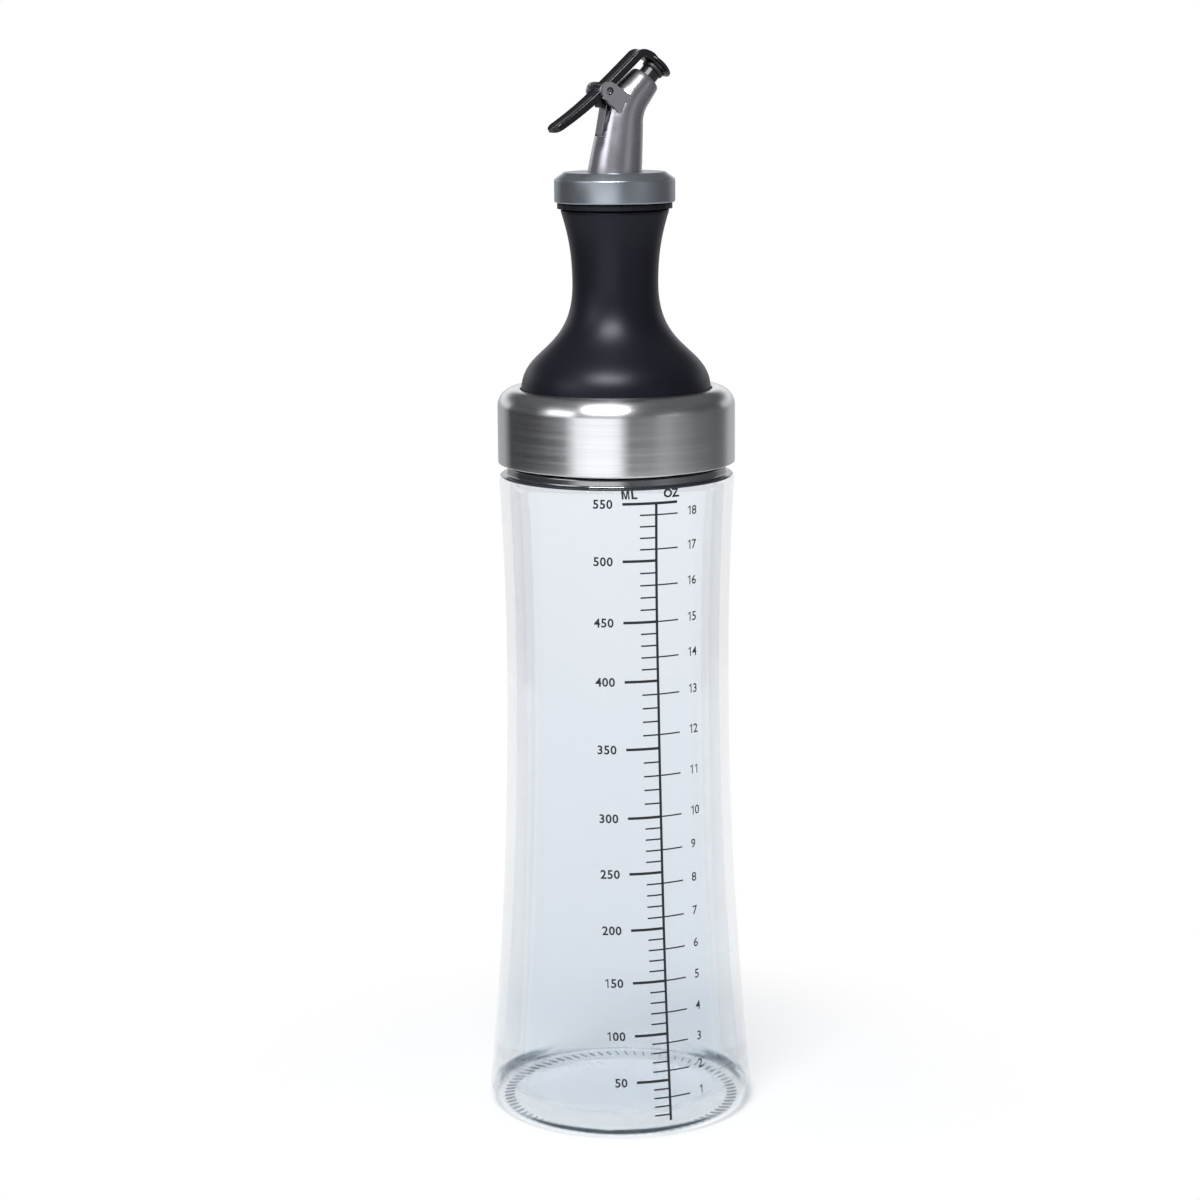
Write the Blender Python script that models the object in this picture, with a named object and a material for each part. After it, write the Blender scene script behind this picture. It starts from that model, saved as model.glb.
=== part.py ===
"""Oil infuser bottle: a waisted glass bottle, a screw lid with a soft neck, and a lever pourer.

Every piece is its own closed solid, in metres, with +Z up and the origin at the centre of the
bottle's foot. The spout pours toward +X and the lever turns about the Y direction.
"""
import math

import bmesh
import bpy
from mathutils import Matrix, Vector

# Clearances between pieces that touch on the real object
GAP = 0.0003
DISH_CLEARANCE = 0.0004

# Facets round the turned pieces
ROUND_STEPS = 48
MEDIUM_STEPS = 32
SPOUT_SIDES = 28
CAP_STEPS = 24
SMALL_STEPS = 16
HOLE_STEPS = 8

# Facets along the outlines
GLASS_WALL_STEPS = 11
INNER_WALL_STEPS = 8
FOOT_STEPS = 4
ROLL_STEPS = 6
NECK_DOME_STEPS = 11
NECK_FLARE_STEPS = 6
SPOUT_STRAIGHT_STEPS = 4
SPOUT_BEND_STEPS = 6
EAR_STEPS = 12
LEVER_BACK_STEPS = 12
CAP_DOME_STEPS = 5
CORNER_STEPS = 3
EDGE_STEPS = 2

# Shading, merging and the handle of a curve that rounds a corner
CREASE_ANGLE = math.radians(35.0)
FLAT_CREASE_ANGLE = math.radians(24.0)
MERGE_DISTANCE = 1e-7
CORNER_PULL = 0.55

# Glass bottle
FOOT_RADIUS = 0.0386
FOOT_HEIGHT = 0.005
BEARING_OUTER_RADIUS = 0.0348
BEARING_INNER_RADIUS = 0.0312
PUNT_DEPTH = 0.0018
WAIST_RADIUS = 0.0321
WAIST_HEIGHT = 0.138
SHOULDER_RADIUS = 0.0336
SHOULDER_HEIGHT = 0.1872
SHOULDER_ROUND = 0.0012
LOWER_SWELL = 2.1
UPPER_SWELL = 1.7
GLASS_WALL = 0.00275
FLOOR_HEIGHT = 0.0046
FLOOR_CORNER = 0.006
BEAD_RADIUS = 0.0312
BEAD_HEIGHT = 0.0026
FINISH_RADIUS = 0.0292
FINISH_HEIGHT = 0.017
MOUTH_RADIUS = 0.0262
RIM_ROUND = 0.0008
INNER_SHOULDER_DROP = 0.0075

# Strainer
STRAINER_THICKNESS = 0.0012
STRAINER_DEPTH = 0.004
STRAINER_CORNER = 0.0009
STRAINER_HOLE_RADIUS = 0.0021
STRAINER_RING_PITCH = 0.0076
STRAINER_RINGS = 2
STRAINER_HOLES_PER_RING = 7
STRAINER_PATTERN_TURN = math.radians(3.4)

# Lid gasket
GASKET_INNER_RADIUS = 0.0256
GASKET_OUTER_RADIUS = 0.0302
GASKET_THICKNESS = 0.0014

# Steel collar and its plastic liner
COLLAR_RADIUS = 0.03385
COLLAR_SHEET = 0.0006
COLLAR_SKIRT = 0.0212
COLLAR_ROLL = 0.0052
COLLAR_HEM = 0.0012
LINER_WALL = 0.00225
LINER_WEB = 0.0015

# Soft neck
NECK_FLANGE_THICKNESS = 0.0014
NECK_FOOT_RADIUS = 0.027
NECK_WALL = 0.002
NECK_WAIST_RADIUS = 0.01217
NECK_WAIST_RISE = 0.0316
NECK_FOOT_HANDLE = 0.0126
NECK_WAIST_HANDLE = 0.0195
NECK_TOP_RADIUS = 0.0153
NECK_TOP_RISE = 0.0209
NECK_TOP_HANDLE = 0.009
NECK_FLARE_HANDLE = 0.0065
NECK_FLARE_INSET = 0.0019
NECK_EDGE_ROUND = 0.0004
NECK_BORE_RADIUS = 0.0102

# Stopper
STOPPER_FLANGE_RADIUS = 0.0163
STOPPER_FLANGE_THICKNESS = 0.0014
STOPPER_CORE_RADIUS = 0.0088
STOPPER_STEM_LENGTH = 0.0216
STOPPER_COLLAR_LENGTH = 0.0036
STOPPER_RIBS = 4
STOPPER_RIB_PITCH = 0.004
STOPPER_RIB_HEIGHT = 0.0022

# Cap ring
RING_RADIUS = 0.01705
RING_HEIGHT = 0.0084
RING_CHAMFER_WIDTH = 0.0026
RING_CHAMFER_HEIGHT = 0.002
RING_SIDE_WALL = 0.0021
RING_TOP_WALL = 0.0017
RING_EDGE_ROUND = 0.0004

# Spout
SPOUT_BASE_RADIUS = 0.0076
SPOUT_TIP_RADIUS = 0.0045
SPOUT_TAPER_POWER = 1.2
SPOUT_FLANGE_RADIUS = 0.0115
SPOUT_FLANGE_THICKNESS = 0.0016
SPOUT_RISE = 0.018
SPOUT_LEAN = math.radians(8.5)
SPOUT_REACH = 0.0104
SPOUT_TILT = math.radians(43.3)
SPOUT_BEND_RADIUS = 0.014
SPOUT_CAVITY_RADIUS = 0.0063
SPOUT_CAVITY_TOP_RADIUS = 0.0044
SPOUT_CAVITY_DEPTH = 0.0102
SPOUT_END_ROUND = 0.0004

# Pour tube and vent tube
POUR_TUBE_RADIUS = 0.0028
POUR_TUBE_BORE = 0.002
POUR_TUBE_PROUD = 0.0026
POUR_TUBE_BELOW = 0.003
VENT_TUBE_RADIUS = 0.0013
VENT_TUBE_BORE = 0.0008
VENT_TUBE_OFFSET = 0.0045
VENT_TUBE_PROUD = 0.003
VENT_TUBE_BELOW = 0.012

# Ears, pin and lever
PIN_BACK = 0.0065
PIN_RISE = 0.0044
PIN_RADIUS = 0.0008
EAR_RADIUS = 0.0025
EAR_THICKNESS = 0.0016
EAR_UPPER_ROOT = 0.0026
EAR_LOWER_ROOT = 0.0044
LEVER_WIDTH = 0.0064
LEVER_THICKNESS = 0.0023
LEVER_END_THICKNESS = 0.002
LEVER_SLOPE = math.radians(40.5)
LEVER_OFFSET = 0.00042
LEVER_BACK_LENGTH = 0.0192
LEVER_CURL = math.radians(10.5)
LEVER_FRONT_ARCS = (
    (0.0142, math.radians(1.5), 3, 1.0),
    (0.0022, math.radians(-54.0), 4, 1.0),
    (0.00255, math.radians(-24.0), 3, 1.0),
    (0.0038, math.radians(-12.0), 3, 0.4),
)
LEVER_TAB_ROUND = 0.0026
LEVER_TAB_END_WIDTH = 0.35
LEVER_TAB_END_HEIGHT = 0.45
LEVER_TAB_END_LEAST = 0.04
LEVER_CORNER = 0.0003
LEVER_RIM = 0.0008
LEVER_CHANNEL = 0.0003
LEVER_BOSS_RADIUS = 0.0019
LUG_WIDTH = 0.004
LUG_REACH = 0.0046
LUG_THICKNESS = 0.0012
LUG_BACK = 0.0001

# Cap on the lever and its seal
CAP_RIM_RADIUS = 0.0047
CAP_FOOT_RADIUS = 0.0035
CAP_FLARE_HEIGHT = 0.0012
CAP_DOME_HEIGHT = 0.0012
CAP_SOCKET_RADIUS = 0.0024
CAP_SOCKET_DEPTH = 0.0009
SEAL_RADIUS = 0.0033
SEAL_THICKNESS = 0.0009

# Leaf spring and its pocket in the spout's back
LEAF_THICKNESS = 0.0004
LEAF_WIDTH = 0.0042
LEAF_LENGTH = 0.0082
LEAF_TAIL = 0.0006
LEAF_LEAN = math.radians(11.0)
LEAF_ROOT_BACK = 0.00475
LEAF_ROOT_RISE = 0.011
LEAF_BEND = math.radians(13.5)
POCKET_WIDTH = 0.005
POCKET_TAIL = 0.0011
RECESS_WIDTH = 0.0064
RECESS_DEPTH = 0.001
RECESS_RISE = 0.0107
RECESS_TOP_RISE = 0.0044
RECESS_SHARE = 0.4

# Surface of each material: colour, roughness, metal and opacity
SURFACES = {
    "clear_glass": ((0.86, 0.91, 0.93), 0.03, 0.0, 0.35),
    "brushed_steel": ((0.62, 0.61, 0.60), 0.32, 1.0, 1.0),
    "soft_black": ((0.018, 0.018, 0.022), 0.5, 0.0, 1.0),
    "liner_black": ((0.02, 0.02, 0.022), 0.4, 0.0, 1.0),
    "strainer_black": ((0.025, 0.025, 0.028), 0.35, 0.0, 1.0),
    "gasket_silicone": ((0.75, 0.75, 0.73), 0.55, 0.0, 1.0),
    "stopper_silicone": ((0.015, 0.015, 0.017), 0.6, 0.0, 1.0),
    "ring_silver": ((0.42, 0.44, 0.46), 0.35, 0.9, 1.0),
    "spout_silver": ((0.36, 0.35, 0.38), 0.3, 0.9, 1.0),
    "tube_black": ((0.01, 0.01, 0.012), 0.25, 0.0, 1.0),
    "vent_white": ((0.7, 0.7, 0.68), 0.4, 0.0, 1.0),
    "lever_black": ((0.008, 0.008, 0.01), 0.12, 0.0, 1.0),
    "seal_black": ((0.02, 0.02, 0.02), 0.55, 0.0, 1.0),
    "pin_steel": ((0.6, 0.6, 0.6), 0.25, 1.0, 1.0),
    "leaf_steel": ((0.45, 0.45, 0.46), 0.3, 1.0, 1.0),
}

# Heights that follow from the sizes above
RIM_HEIGHT = SHOULDER_HEIGHT + FINISH_HEIGHT
STRAINER_BASE = RIM_HEIGHT + GAP
GASKET_BASE = STRAINER_BASE + STRAINER_THICKNESS + GAP
LINER_WEB_BASE = GASKET_BASE + GASKET_THICKNESS + GAP
NECK_BASE = LINER_WEB_BASE + LINER_WEB + GAP
NECK_FLANGE_TOP = NECK_BASE + NECK_FLANGE_THICKNESS
COLLAR_TOP = NECK_FLANGE_TOP + GAP + COLLAR_SHEET
COLLAR_BASE = COLLAR_TOP - COLLAR_SKIRT
NECK_WAIST_HEIGHT = NECK_BASE + NECK_WAIST_RISE
NECK_TOP = NECK_WAIST_HEIGHT + NECK_TOP_RISE
STOPPER_FLANGE_BASE = NECK_TOP + GAP
RING_BASE = STOPPER_FLANGE_BASE + STOPPER_FLANGE_THICKNESS + GAP
RING_TOP = RING_BASE + RING_HEIGHT
SPOUT_FLANGE_TOP = RING_TOP - RING_TOP_WALL - GAP
SPOUT_BASE = SPOUT_FLANGE_TOP - SPOUT_FLANGE_THICKNESS
STOPPER_HEAD_TOP = SPOUT_BASE - GAP
STOPPER_BOTTOM = STOPPER_FLANGE_BASE - STOPPER_STEM_LENGTH

# Directions and places in the spout's XZ plane
UPPER_AXIS = Vector((math.sin(SPOUT_TILT), 0.0, math.cos(SPOUT_TILT)))
LOWER_AXIS = Vector((math.sin(SPOUT_LEAN), 0.0, math.cos(SPOUT_LEAN)))
SPOUT_FOOT = Vector((0.0, 0.0, RING_TOP))
BEND_POINT = SPOUT_FOOT + LOWER_AXIS * (SPOUT_RISE / LOWER_AXIS.z)
SPOUT_END = BEND_POINT + UPPER_AXIS * SPOUT_REACH
TUBE_END = SPOUT_END + UPPER_AXIS * POUR_TUBE_PROUD
PIN_CENTRE = BEND_POINT + Vector((-PIN_BACK, 0.0, PIN_RISE))
LEAF_ROOT = SPOUT_FOOT + Vector((-LEAF_ROOT_BACK, 0.0, LEAF_ROOT_RISE))
EAR_INNER_FACE = LEVER_WIDTH / 2 + GAP


def clear_scene():
    """Remove every object that the opened file holds."""
    for thing in list(bpy.data.objects):
        bpy.data.objects.remove(thing, do_unlink=True)


def make_material(name):
    """A plain material with the colour and gloss of the named surface."""
    colour, roughness, metallic, alpha = SURFACES[name]
    material = bpy.data.materials.new(name)
    material.use_nodes = True
    shader = material.node_tree.nodes["Principled BSDF"]
    shader.inputs["Base Color"].default_value = (*colour, 1.0)
    shader.inputs["Roughness"].default_value = roughness
    shader.inputs["Metallic"].default_value = metallic
    shader.inputs["Alpha"].default_value = alpha
    material.diffuse_color = (*colour, alpha)
    return material


def add_object(name, bm, material=None, parent=None, origin=None, crease=CREASE_ANGLE):
    """Turn a bmesh drawn in world places into an object whose origin is at the given point."""
    bmesh.ops.recalc_face_normals(bm, faces=bm.faces)
    origin = origin or Vector((0.0, 0.0, 0.0))
    bmesh.ops.translate(bm, verts=bm.verts, vec=-origin)
    mesh = bpy.data.meshes.new(name)
    bm.to_mesh(mesh)
    bm.free()
    mesh.shade_smooth()
    mesh.set_sharp_from_angle(angle=crease)
    thing = bpy.data.objects.new(name, mesh)
    bpy.context.scene.collection.objects.link(thing)
    if parent:
        thing.parent = parent
        origin = origin - parent.location
    thing.location = origin
    if material:
        mesh.materials.append(material)
    return thing


def add_pivot(name, place):
    """An empty on a joint's axis, which carries the pieces that move about it."""
    pivot = bpy.data.objects.new(name, None)
    pivot.location = place
    bpy.context.scene.collection.objects.link(pivot)
    return pivot


def hide_tool(thing):
    """Mark a cutter or an added shape as a modelling aid."""
    thing.hide_render = True
    thing.display_type = "WIRE"
    return thing


def combine(target, tool, operation):
    """Cut the tool out of the target or join it on."""
    modifier = target.modifiers.new(tool.name, "BOOLEAN")
    modifier.operation = operation
    modifier.solver = "EXACT"
    modifier.object = hide_tool(tool)


def arc(centre, radius, start, end, steps):
    """Points of a round stretch of an outline, by angles in degrees from the outward direction."""
    points = []
    for step in range(steps + 1):
        angle = math.radians(start + (end - start) * step / steps)
        points.append((centre[0] + radius * math.cos(angle), centre[1] + radius * math.sin(angle)))
    return points


def bezier(first, first_handle, last_handle, last, steps):
    """Points of a cubic curve, without its last one."""
    points = []
    for step in range(steps):
        t = step / steps
        weights = ((1 - t) ** 3, 3 * t * (1 - t) ** 2, 3 * t * t * (1 - t), t ** 3)
        corners = (first, first_handle, last_handle, last)
        points.append(tuple(sum(w * p[axis] for w, p in zip(weights, corners)) for axis in (0, 1)))
    return points


def turned(outline, steps, closed=True):
    """Spin an outline of (radius, height) points about the Z axis."""
    bm = bmesh.new()
    verts = [bm.verts.new((radius, 0.0, height)) for radius, height in outline]
    pairs = list(zip(verts, verts[1:]))
    if closed:
        pairs.append((verts[-1], verts[0]))
    edges = [bm.edges.new(pair) for pair in pairs]
    bmesh.ops.spin(
        bm,
        geom=verts + edges,
        cent=(0.0, 0.0, 0.0),
        axis=(0.0, 0.0, 1.0),
        angle=math.tau,
        steps=steps,
        use_merge=True,
    )
    bmesh.ops.remove_doubles(bm, verts=bm.verts, dist=MERGE_DISTANCE)
    return bm


def lofted(rings):
    """Skin a row of closed rings of points and cap both ends."""
    bm = bmesh.new()
    rows = [[bm.verts.new(point) for point in ring] for ring in rings]
    for row, following in zip(rows, rows[1:]):
        for index, vert in enumerate(row):
            after = (index + 1) % len(row)
            bm.faces.new((vert, row[after], following[after], following[index]))
    bm.faces.new(rows[0])
    bm.faces.new(rows[-1])
    return bm


def ring_across(centre, tilt, radius, sides):
    """A circle of points square to a direction that is tilted from +Z toward +X."""
    across = Vector((math.cos(tilt), 0.0, -math.sin(tilt)))
    points = []
    for side in range(sides):
        angle = math.tau * side / sides
        aside = Vector((0.0, radius * math.sin(angle), 0.0))
        points.append(centre + across * (radius * math.cos(angle)) + aside)
    return points


def prism(outline, half_width):
    """Extrude an outline of (x, z) points to both sides of the XZ plane."""
    bm = bmesh.new()
    face = bm.faces.new([bm.verts.new((x, -half_width, z)) for x, z in outline])
    extruded = bmesh.ops.extrude_face_region(bm, geom=[face])
    verts = [item for item in extruded["geom"] if isinstance(item, bmesh.types.BMVert)]
    bmesh.ops.translate(bm, verts=verts, vec=(0.0, 2 * half_width, 0.0))
    return bm


def cross_pin(centre, radius, half_length, sides=SMALL_STEPS):
    """A round bar along Y."""
    rings = []
    for side_of_plane in (-1.0, 1.0):
        middle = centre + Vector((0.0, side_of_plane * half_length, 0.0))
        ring = []
        for side in range(sides):
            angle = math.tau * side / sides
            ring.append(middle + Vector((radius * math.cos(angle), 0.0, radius * math.sin(angle))))
        rings.append(ring)
    return lofted(rings)


def glass_radius(height):
    """Outer radius of the waisted wall at a height."""
    if height < WAIST_HEIGHT:
        share = (WAIST_HEIGHT - height) / (WAIST_HEIGHT - FOOT_HEIGHT)
        return WAIST_RADIUS + (FOOT_RADIUS - WAIST_RADIUS) * share ** LOWER_SWELL
    share = (height - WAIST_HEIGHT) / (SHOULDER_HEIGHT - SHOULDER_ROUND - WAIST_HEIGHT)
    return WAIST_RADIUS + (SHOULDER_RADIUS - WAIST_RADIUS) * share ** UPPER_SWELL


def heights(low, high, steps):
    """Evenly spaced heights from low to high."""
    return [low + (high - low) * step / steps for step in range(steps + 1)]


def build_glass(material):
    """Bottle with a punted foot, a waisted wall, a bead and a plain neck finish."""
    foot = bezier(
        (BEARING_OUTER_RADIUS, 0.0),
        (BEARING_OUTER_RADIUS + CORNER_PULL * (FOOT_RADIUS - BEARING_OUTER_RADIUS), 0.0),
        (FOOT_RADIUS, FOOT_HEIGHT * (1 - CORNER_PULL)),
        (FOOT_RADIUS, FOOT_HEIGHT),
        FOOT_STEPS,
    )
    punt = bezier(
        (0.0, PUNT_DEPTH),
        (BEARING_INNER_RADIUS * CORNER_PULL, PUNT_DEPTH),
        (BEARING_INNER_RADIUS * (1 + CORNER_PULL) / 2, PUNT_DEPTH / 2),
        (BEARING_INNER_RADIUS, 0.0),
        CORNER_STEPS,
    )
    wall_top = SHOULDER_HEIGHT - SHOULDER_ROUND
    outer_wall = [(glass_radius(h), h) for h in heights(FOOT_HEIGHT, wall_top, GLASS_WALL_STEPS)]
    shoulder = arc((SHOULDER_RADIUS - SHOULDER_ROUND, wall_top), SHOULDER_ROUND, 0, 90, CORNER_STEPS)
    bead_top = SHOULDER_HEIGHT + BEAD_HEIGHT
    bead_round = BEAD_RADIUS - FINISH_RADIUS - GAP
    bead = [(BEAD_RADIUS, SHOULDER_HEIGHT)]
    bead += arc((BEAD_RADIUS - bead_round, bead_top - bead_round), bead_round, 0, 90, CORNER_STEPS)
    rim = [(FINISH_RADIUS, bead_top)]
    rim += arc((FINISH_RADIUS - RIM_ROUND, RIM_HEIGHT - RIM_ROUND), RIM_ROUND, 0, 90, CORNER_STEPS)
    rim += arc((MOUTH_RADIUS + RIM_ROUND, RIM_HEIGHT - RIM_ROUND), RIM_ROUND, 90, 180, CORNER_STEPS)
    inner_low = bead_top - INNER_SHOULDER_DROP
    inner_radius = glass_radius(inner_low) - GLASS_WALL
    inner_shoulder = bezier(
        (MOUTH_RADIUS, bead_top),
        (MOUTH_RADIUS, bead_top - INNER_SHOULDER_DROP * CORNER_PULL),
        (inner_radius, inner_low + INNER_SHOULDER_DROP * CORNER_PULL),
        (inner_radius, inner_low),
        FOOT_STEPS,
    )
    corner_top = FLOOR_HEIGHT + FLOOR_CORNER
    inner_heights = reversed(heights(corner_top, inner_low, INNER_WALL_STEPS))
    inner_wall = [(glass_radius(h) - GLASS_WALL, h) for h in inner_heights]
    floor_radius = glass_radius(corner_top) - GLASS_WALL - FLOOR_CORNER
    floor = arc((floor_radius, corner_top), FLOOR_CORNER, 0, -90, CORNER_STEPS)[1:]
    outline = punt + [(BEARING_INNER_RADIUS, 0.0)] + foot + outer_wall + shoulder + bead + rim
    outline += inner_shoulder + inner_wall + floor + [(0.0, FLOOR_HEIGHT)]
    return add_object("glass_bottle", turned(outline, ROUND_STEPS, closed=False), material)


def build_strainer(material, parent):
    """Perforated dish that hangs in the mouth from a flange on the rim."""
    outer = MOUTH_RADIUS - DISH_CLEARANCE
    inner = outer - STRAINER_THICKNESS
    base = STRAINER_BASE - STRAINER_DEPTH
    floor_top = base + STRAINER_THICKNESS
    top = STRAINER_BASE + STRAINER_THICKNESS
    outline = [(0.0, base), (outer - STRAINER_CORNER, base), (outer, base + STRAINER_CORNER)]
    outline.append((outer, STRAINER_BASE))
    outline += [(FINISH_RADIUS, STRAINER_BASE), (FINISH_RADIUS, top), (inner, top)]
    outline += [(inner, floor_top), (0.0, floor_top)]
    strainer = add_object("strainer", turned(outline, MEDIUM_STEPS, closed=False), material, parent)
    holes = bmesh.new()
    for ring in range(STRAINER_RINGS + 1):
        count = max(1, ring * STRAINER_HOLES_PER_RING)
        for index in range(count):
            angle = STRAINER_PATTERN_TURN + math.tau * index / count
            radius = ring * STRAINER_RING_PITCH
            place = (radius * math.cos(angle), radius * math.sin(angle), base + STRAINER_THICKNESS / 2)
            bmesh.ops.create_cone(
                holes,
                cap_ends=True,
                segments=HOLE_STEPS,
                radius1=STRAINER_HOLE_RADIUS,
                radius2=STRAINER_HOLE_RADIUS,
                depth=STRAINER_THICKNESS * 2,
                matrix=Matrix.Translation(place) @ Matrix.Rotation(angle, 4, "Z"),
            )
    combine(strainer, add_object("strainer_hole_tool", holes), "DIFFERENCE")
    return strainer


def build_gasket(material, parent):
    """Flat ring between the strainer's flange and the liner's web."""
    chamfer = GAP
    top = GASKET_BASE + GASKET_THICKNESS
    outline = [(GASKET_INNER_RADIUS, GASKET_BASE), (GASKET_OUTER_RADIUS, GASKET_BASE)]
    outline += [(GASKET_OUTER_RADIUS, top - chamfer), (GASKET_OUTER_RADIUS - chamfer, top)]
    outline += [(GASKET_INNER_RADIUS + chamfer, top), (GASKET_INNER_RADIUS, top - chamfer)]
    return add_object("lid_gasket", turned(outline, MEDIUM_STEPS), material, parent)


def roll_centre():
    """Centre of the collar's rolled top edge, which the liner and the neck flange follow."""
    return (COLLAR_RADIUS - COLLAR_ROLL, COLLAR_TOP - COLLAR_ROLL)


def angle_at_height(radius, height):
    """Angle in degrees at which an arc about the roll centre reaches a height."""
    return math.degrees(math.asin(min(1.0, (height - roll_centre()[1]) / radius)))


def build_collar(material, parent):
    """Thin steel sleeve, rolled in over the neck's foot and hemmed at its lower edge."""
    sheet = COLLAR_SHEET
    lip = NECK_FOOT_RADIUS + GAP
    hem_centre = (COLLAR_RADIUS - COLLAR_HEM, COLLAR_BASE + COLLAR_HEM)
    outline = arc(hem_centre, COLLAR_HEM, -90, 0, CORNER_STEPS)
    outline += arc(roll_centre(), COLLAR_ROLL, 0, 90, ROLL_STEPS)
    outline += arc((lip + sheet, COLLAR_TOP - sheet), sheet, 90, 180, EDGE_STEPS)
    outline += arc(roll_centre(), COLLAR_ROLL - sheet, 90, 0, ROLL_STEPS)
    outline += arc(hem_centre, COLLAR_HEM - sheet, 0, -90, CORNER_STEPS)
    return add_object("steel_collar", turned(outline, ROUND_STEPS), material, parent)


def build_liner(material, parent):
    """Plastic liner that fills the collar and closes on the gasket."""
    arc_radius = COLLAR_ROLL - COLLAR_SHEET - GAP
    outer = COLLAR_RADIUS - COLLAR_SHEET - GAP
    inner = outer - LINER_WALL
    base = COLLAR_BASE + COLLAR_HEM
    top = LINER_WEB_BASE + LINER_WEB
    web_inner = NECK_FOOT_RADIUS - NECK_WALL
    outline = [(inner, base), (outer, base)]
    outline += arc(roll_centre(), arc_radius, 0, angle_at_height(arc_radius, top), CORNER_STEPS)
    outline += [(web_inner, top), (web_inner, LINER_WEB_BASE), (inner, LINER_WEB_BASE)]
    return add_object("thread_liner", turned(outline, MEDIUM_STEPS), material, parent)


def neck_curve():
    """Outer line of the neck from its foot to its top edge."""
    dome = bezier(
        (NECK_FOOT_RADIUS, NECK_FLANGE_TOP),
        (NECK_FOOT_RADIUS, NECK_FLANGE_TOP + NECK_FOOT_HANDLE),
        (NECK_WAIST_RADIUS, NECK_WAIST_HEIGHT - NECK_WAIST_HANDLE),
        (NECK_WAIST_RADIUS, NECK_WAIST_HEIGHT),
        NECK_DOME_STEPS,
    )
    flare = bezier(
        (NECK_WAIST_RADIUS, NECK_WAIST_HEIGHT),
        (NECK_WAIST_RADIUS, NECK_WAIST_HEIGHT + NECK_TOP_HANDLE),
        (NECK_TOP_RADIUS - NECK_FLARE_INSET, NECK_TOP - NECK_FLARE_HANDLE),
        (NECK_TOP_RADIUS, NECK_TOP - NECK_EDGE_ROUND),
        NECK_FLARE_STEPS,
    )
    return dome, flare


def build_neck(material, parent):
    """Hollow flask-shaped neck with a flange that the collar clamps."""
    arc_radius = COLLAR_ROLL - COLLAR_SHEET - GAP
    dome, flare = neck_curve()
    flange = [(NECK_FOOT_RADIUS - NECK_WALL, NECK_BASE)]
    flange += arc(roll_centre(), arc_radius, angle_at_height(arc_radius, NECK_BASE), 90, CORNER_STEPS)
    edge_centre = (NECK_TOP_RADIUS - NECK_EDGE_ROUND, NECK_TOP - NECK_EDGE_ROUND)
    edge = arc(edge_centre, NECK_EDGE_ROUND, 0, 90, EDGE_STEPS)
    hollow = []
    for before, here, after in zip(dome, dome[1:], dome[2:]):
        along = Vector((after[0] - before[0], after[1] - before[1])).normalized()
        inner = (here[0] - along.y * NECK_WALL, here[1] + along.x * NECK_WALL)
        if inner[0] > NECK_BORE_RADIUS:
            hollow.append(inner)
    bore_foot = hollow[-1][1] + (hollow[-1][0] - NECK_BORE_RADIUS)
    bore = [(NECK_BORE_RADIUS + NECK_EDGE_ROUND, NECK_TOP), (NECK_BORE_RADIUS, NECK_TOP - NECK_EDGE_ROUND)]
    bore.append((NECK_BORE_RADIUS, bore_foot))
    outline = flange + dome + flare + edge + bore + hollow[::-1]
    return add_object("neck", turned(outline, ROUND_STEPS), material, parent)


def build_stopper(material, parent):
    """Ribbed soft stopper with a flange on the neck and a head inside the cap ring."""
    head = RING_RADIUS - RING_SIDE_WALL - GAP
    flange_top = STOPPER_FLANGE_BASE + STOPPER_FLANGE_THICKNESS
    rib = NECK_BORE_RADIUS - GAP
    bore = POUR_TUBE_RADIUS + GAP
    outline = [(bore, STOPPER_BOTTOM), (STOPPER_CORE_RADIUS - GAP, STOPPER_BOTTOM)]
    for index in range(STOPPER_RIBS):
        low = STOPPER_BOTTOM + GAP + index * STOPPER_RIB_PITCH
        outline += [(STOPPER_CORE_RADIUS, low), (rib, low + STOPPER_RIB_HEIGHT)]
        outline.append((STOPPER_CORE_RADIUS, low + STOPPER_RIB_HEIGHT + GAP))
    collar_base = STOPPER_FLANGE_BASE - STOPPER_COLLAR_LENGTH
    outline += [(STOPPER_CORE_RADIUS, collar_base), (rib, collar_base + GAP), (rib, STOPPER_FLANGE_BASE)]
    outline += [(STOPPER_FLANGE_RADIUS, STOPPER_FLANGE_BASE), (STOPPER_FLANGE_RADIUS, flange_top)]
    outline += [(head, flange_top), (head, STOPPER_HEAD_TOP), (bore, STOPPER_HEAD_TOP)]
    stopper = add_object("stopper", turned(outline, MEDIUM_STEPS), material, parent)
    middle = Vector((-VENT_TUBE_OFFSET, 0.0, 0.0))
    rows = [
        ring_across(middle + Vector((0.0, 0.0, height)), 0.0, VENT_TUBE_RADIUS + GAP, SMALL_STEPS)
        for height in (STOPPER_BOTTOM - GAP, STOPPER_HEAD_TOP + GAP)
    ]
    combine(stopper, add_object("stopper_vent_tool", lofted(rows)), "DIFFERENCE")
    return stopper


def build_cap_ring(material, parent):
    """Chamfered ring that covers the stopper's head and holds the spout's flange down."""
    hole = SPOUT_BASE_RADIUS + GAP
    inner = RING_RADIUS - RING_SIDE_WALL
    ceiling = RING_TOP - RING_TOP_WALL
    side_top = RING_TOP - RING_CHAMFER_HEIGHT
    edge_centre = (RING_RADIUS - RING_EDGE_ROUND, RING_BASE + RING_EDGE_ROUND)
    outline = [(inner, RING_BASE)]
    outline += arc(edge_centre, RING_EDGE_ROUND, -90, 0, EDGE_STEPS)
    outline += [(RING_RADIUS, side_top), (RING_RADIUS - RING_CHAMFER_WIDTH, RING_TOP)]
    outline += [(hole, RING_TOP), (hole, ceiling), (inner, ceiling)]
    return add_object("cap_ring", turned(outline, ROUND_STEPS), material, parent)


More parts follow.
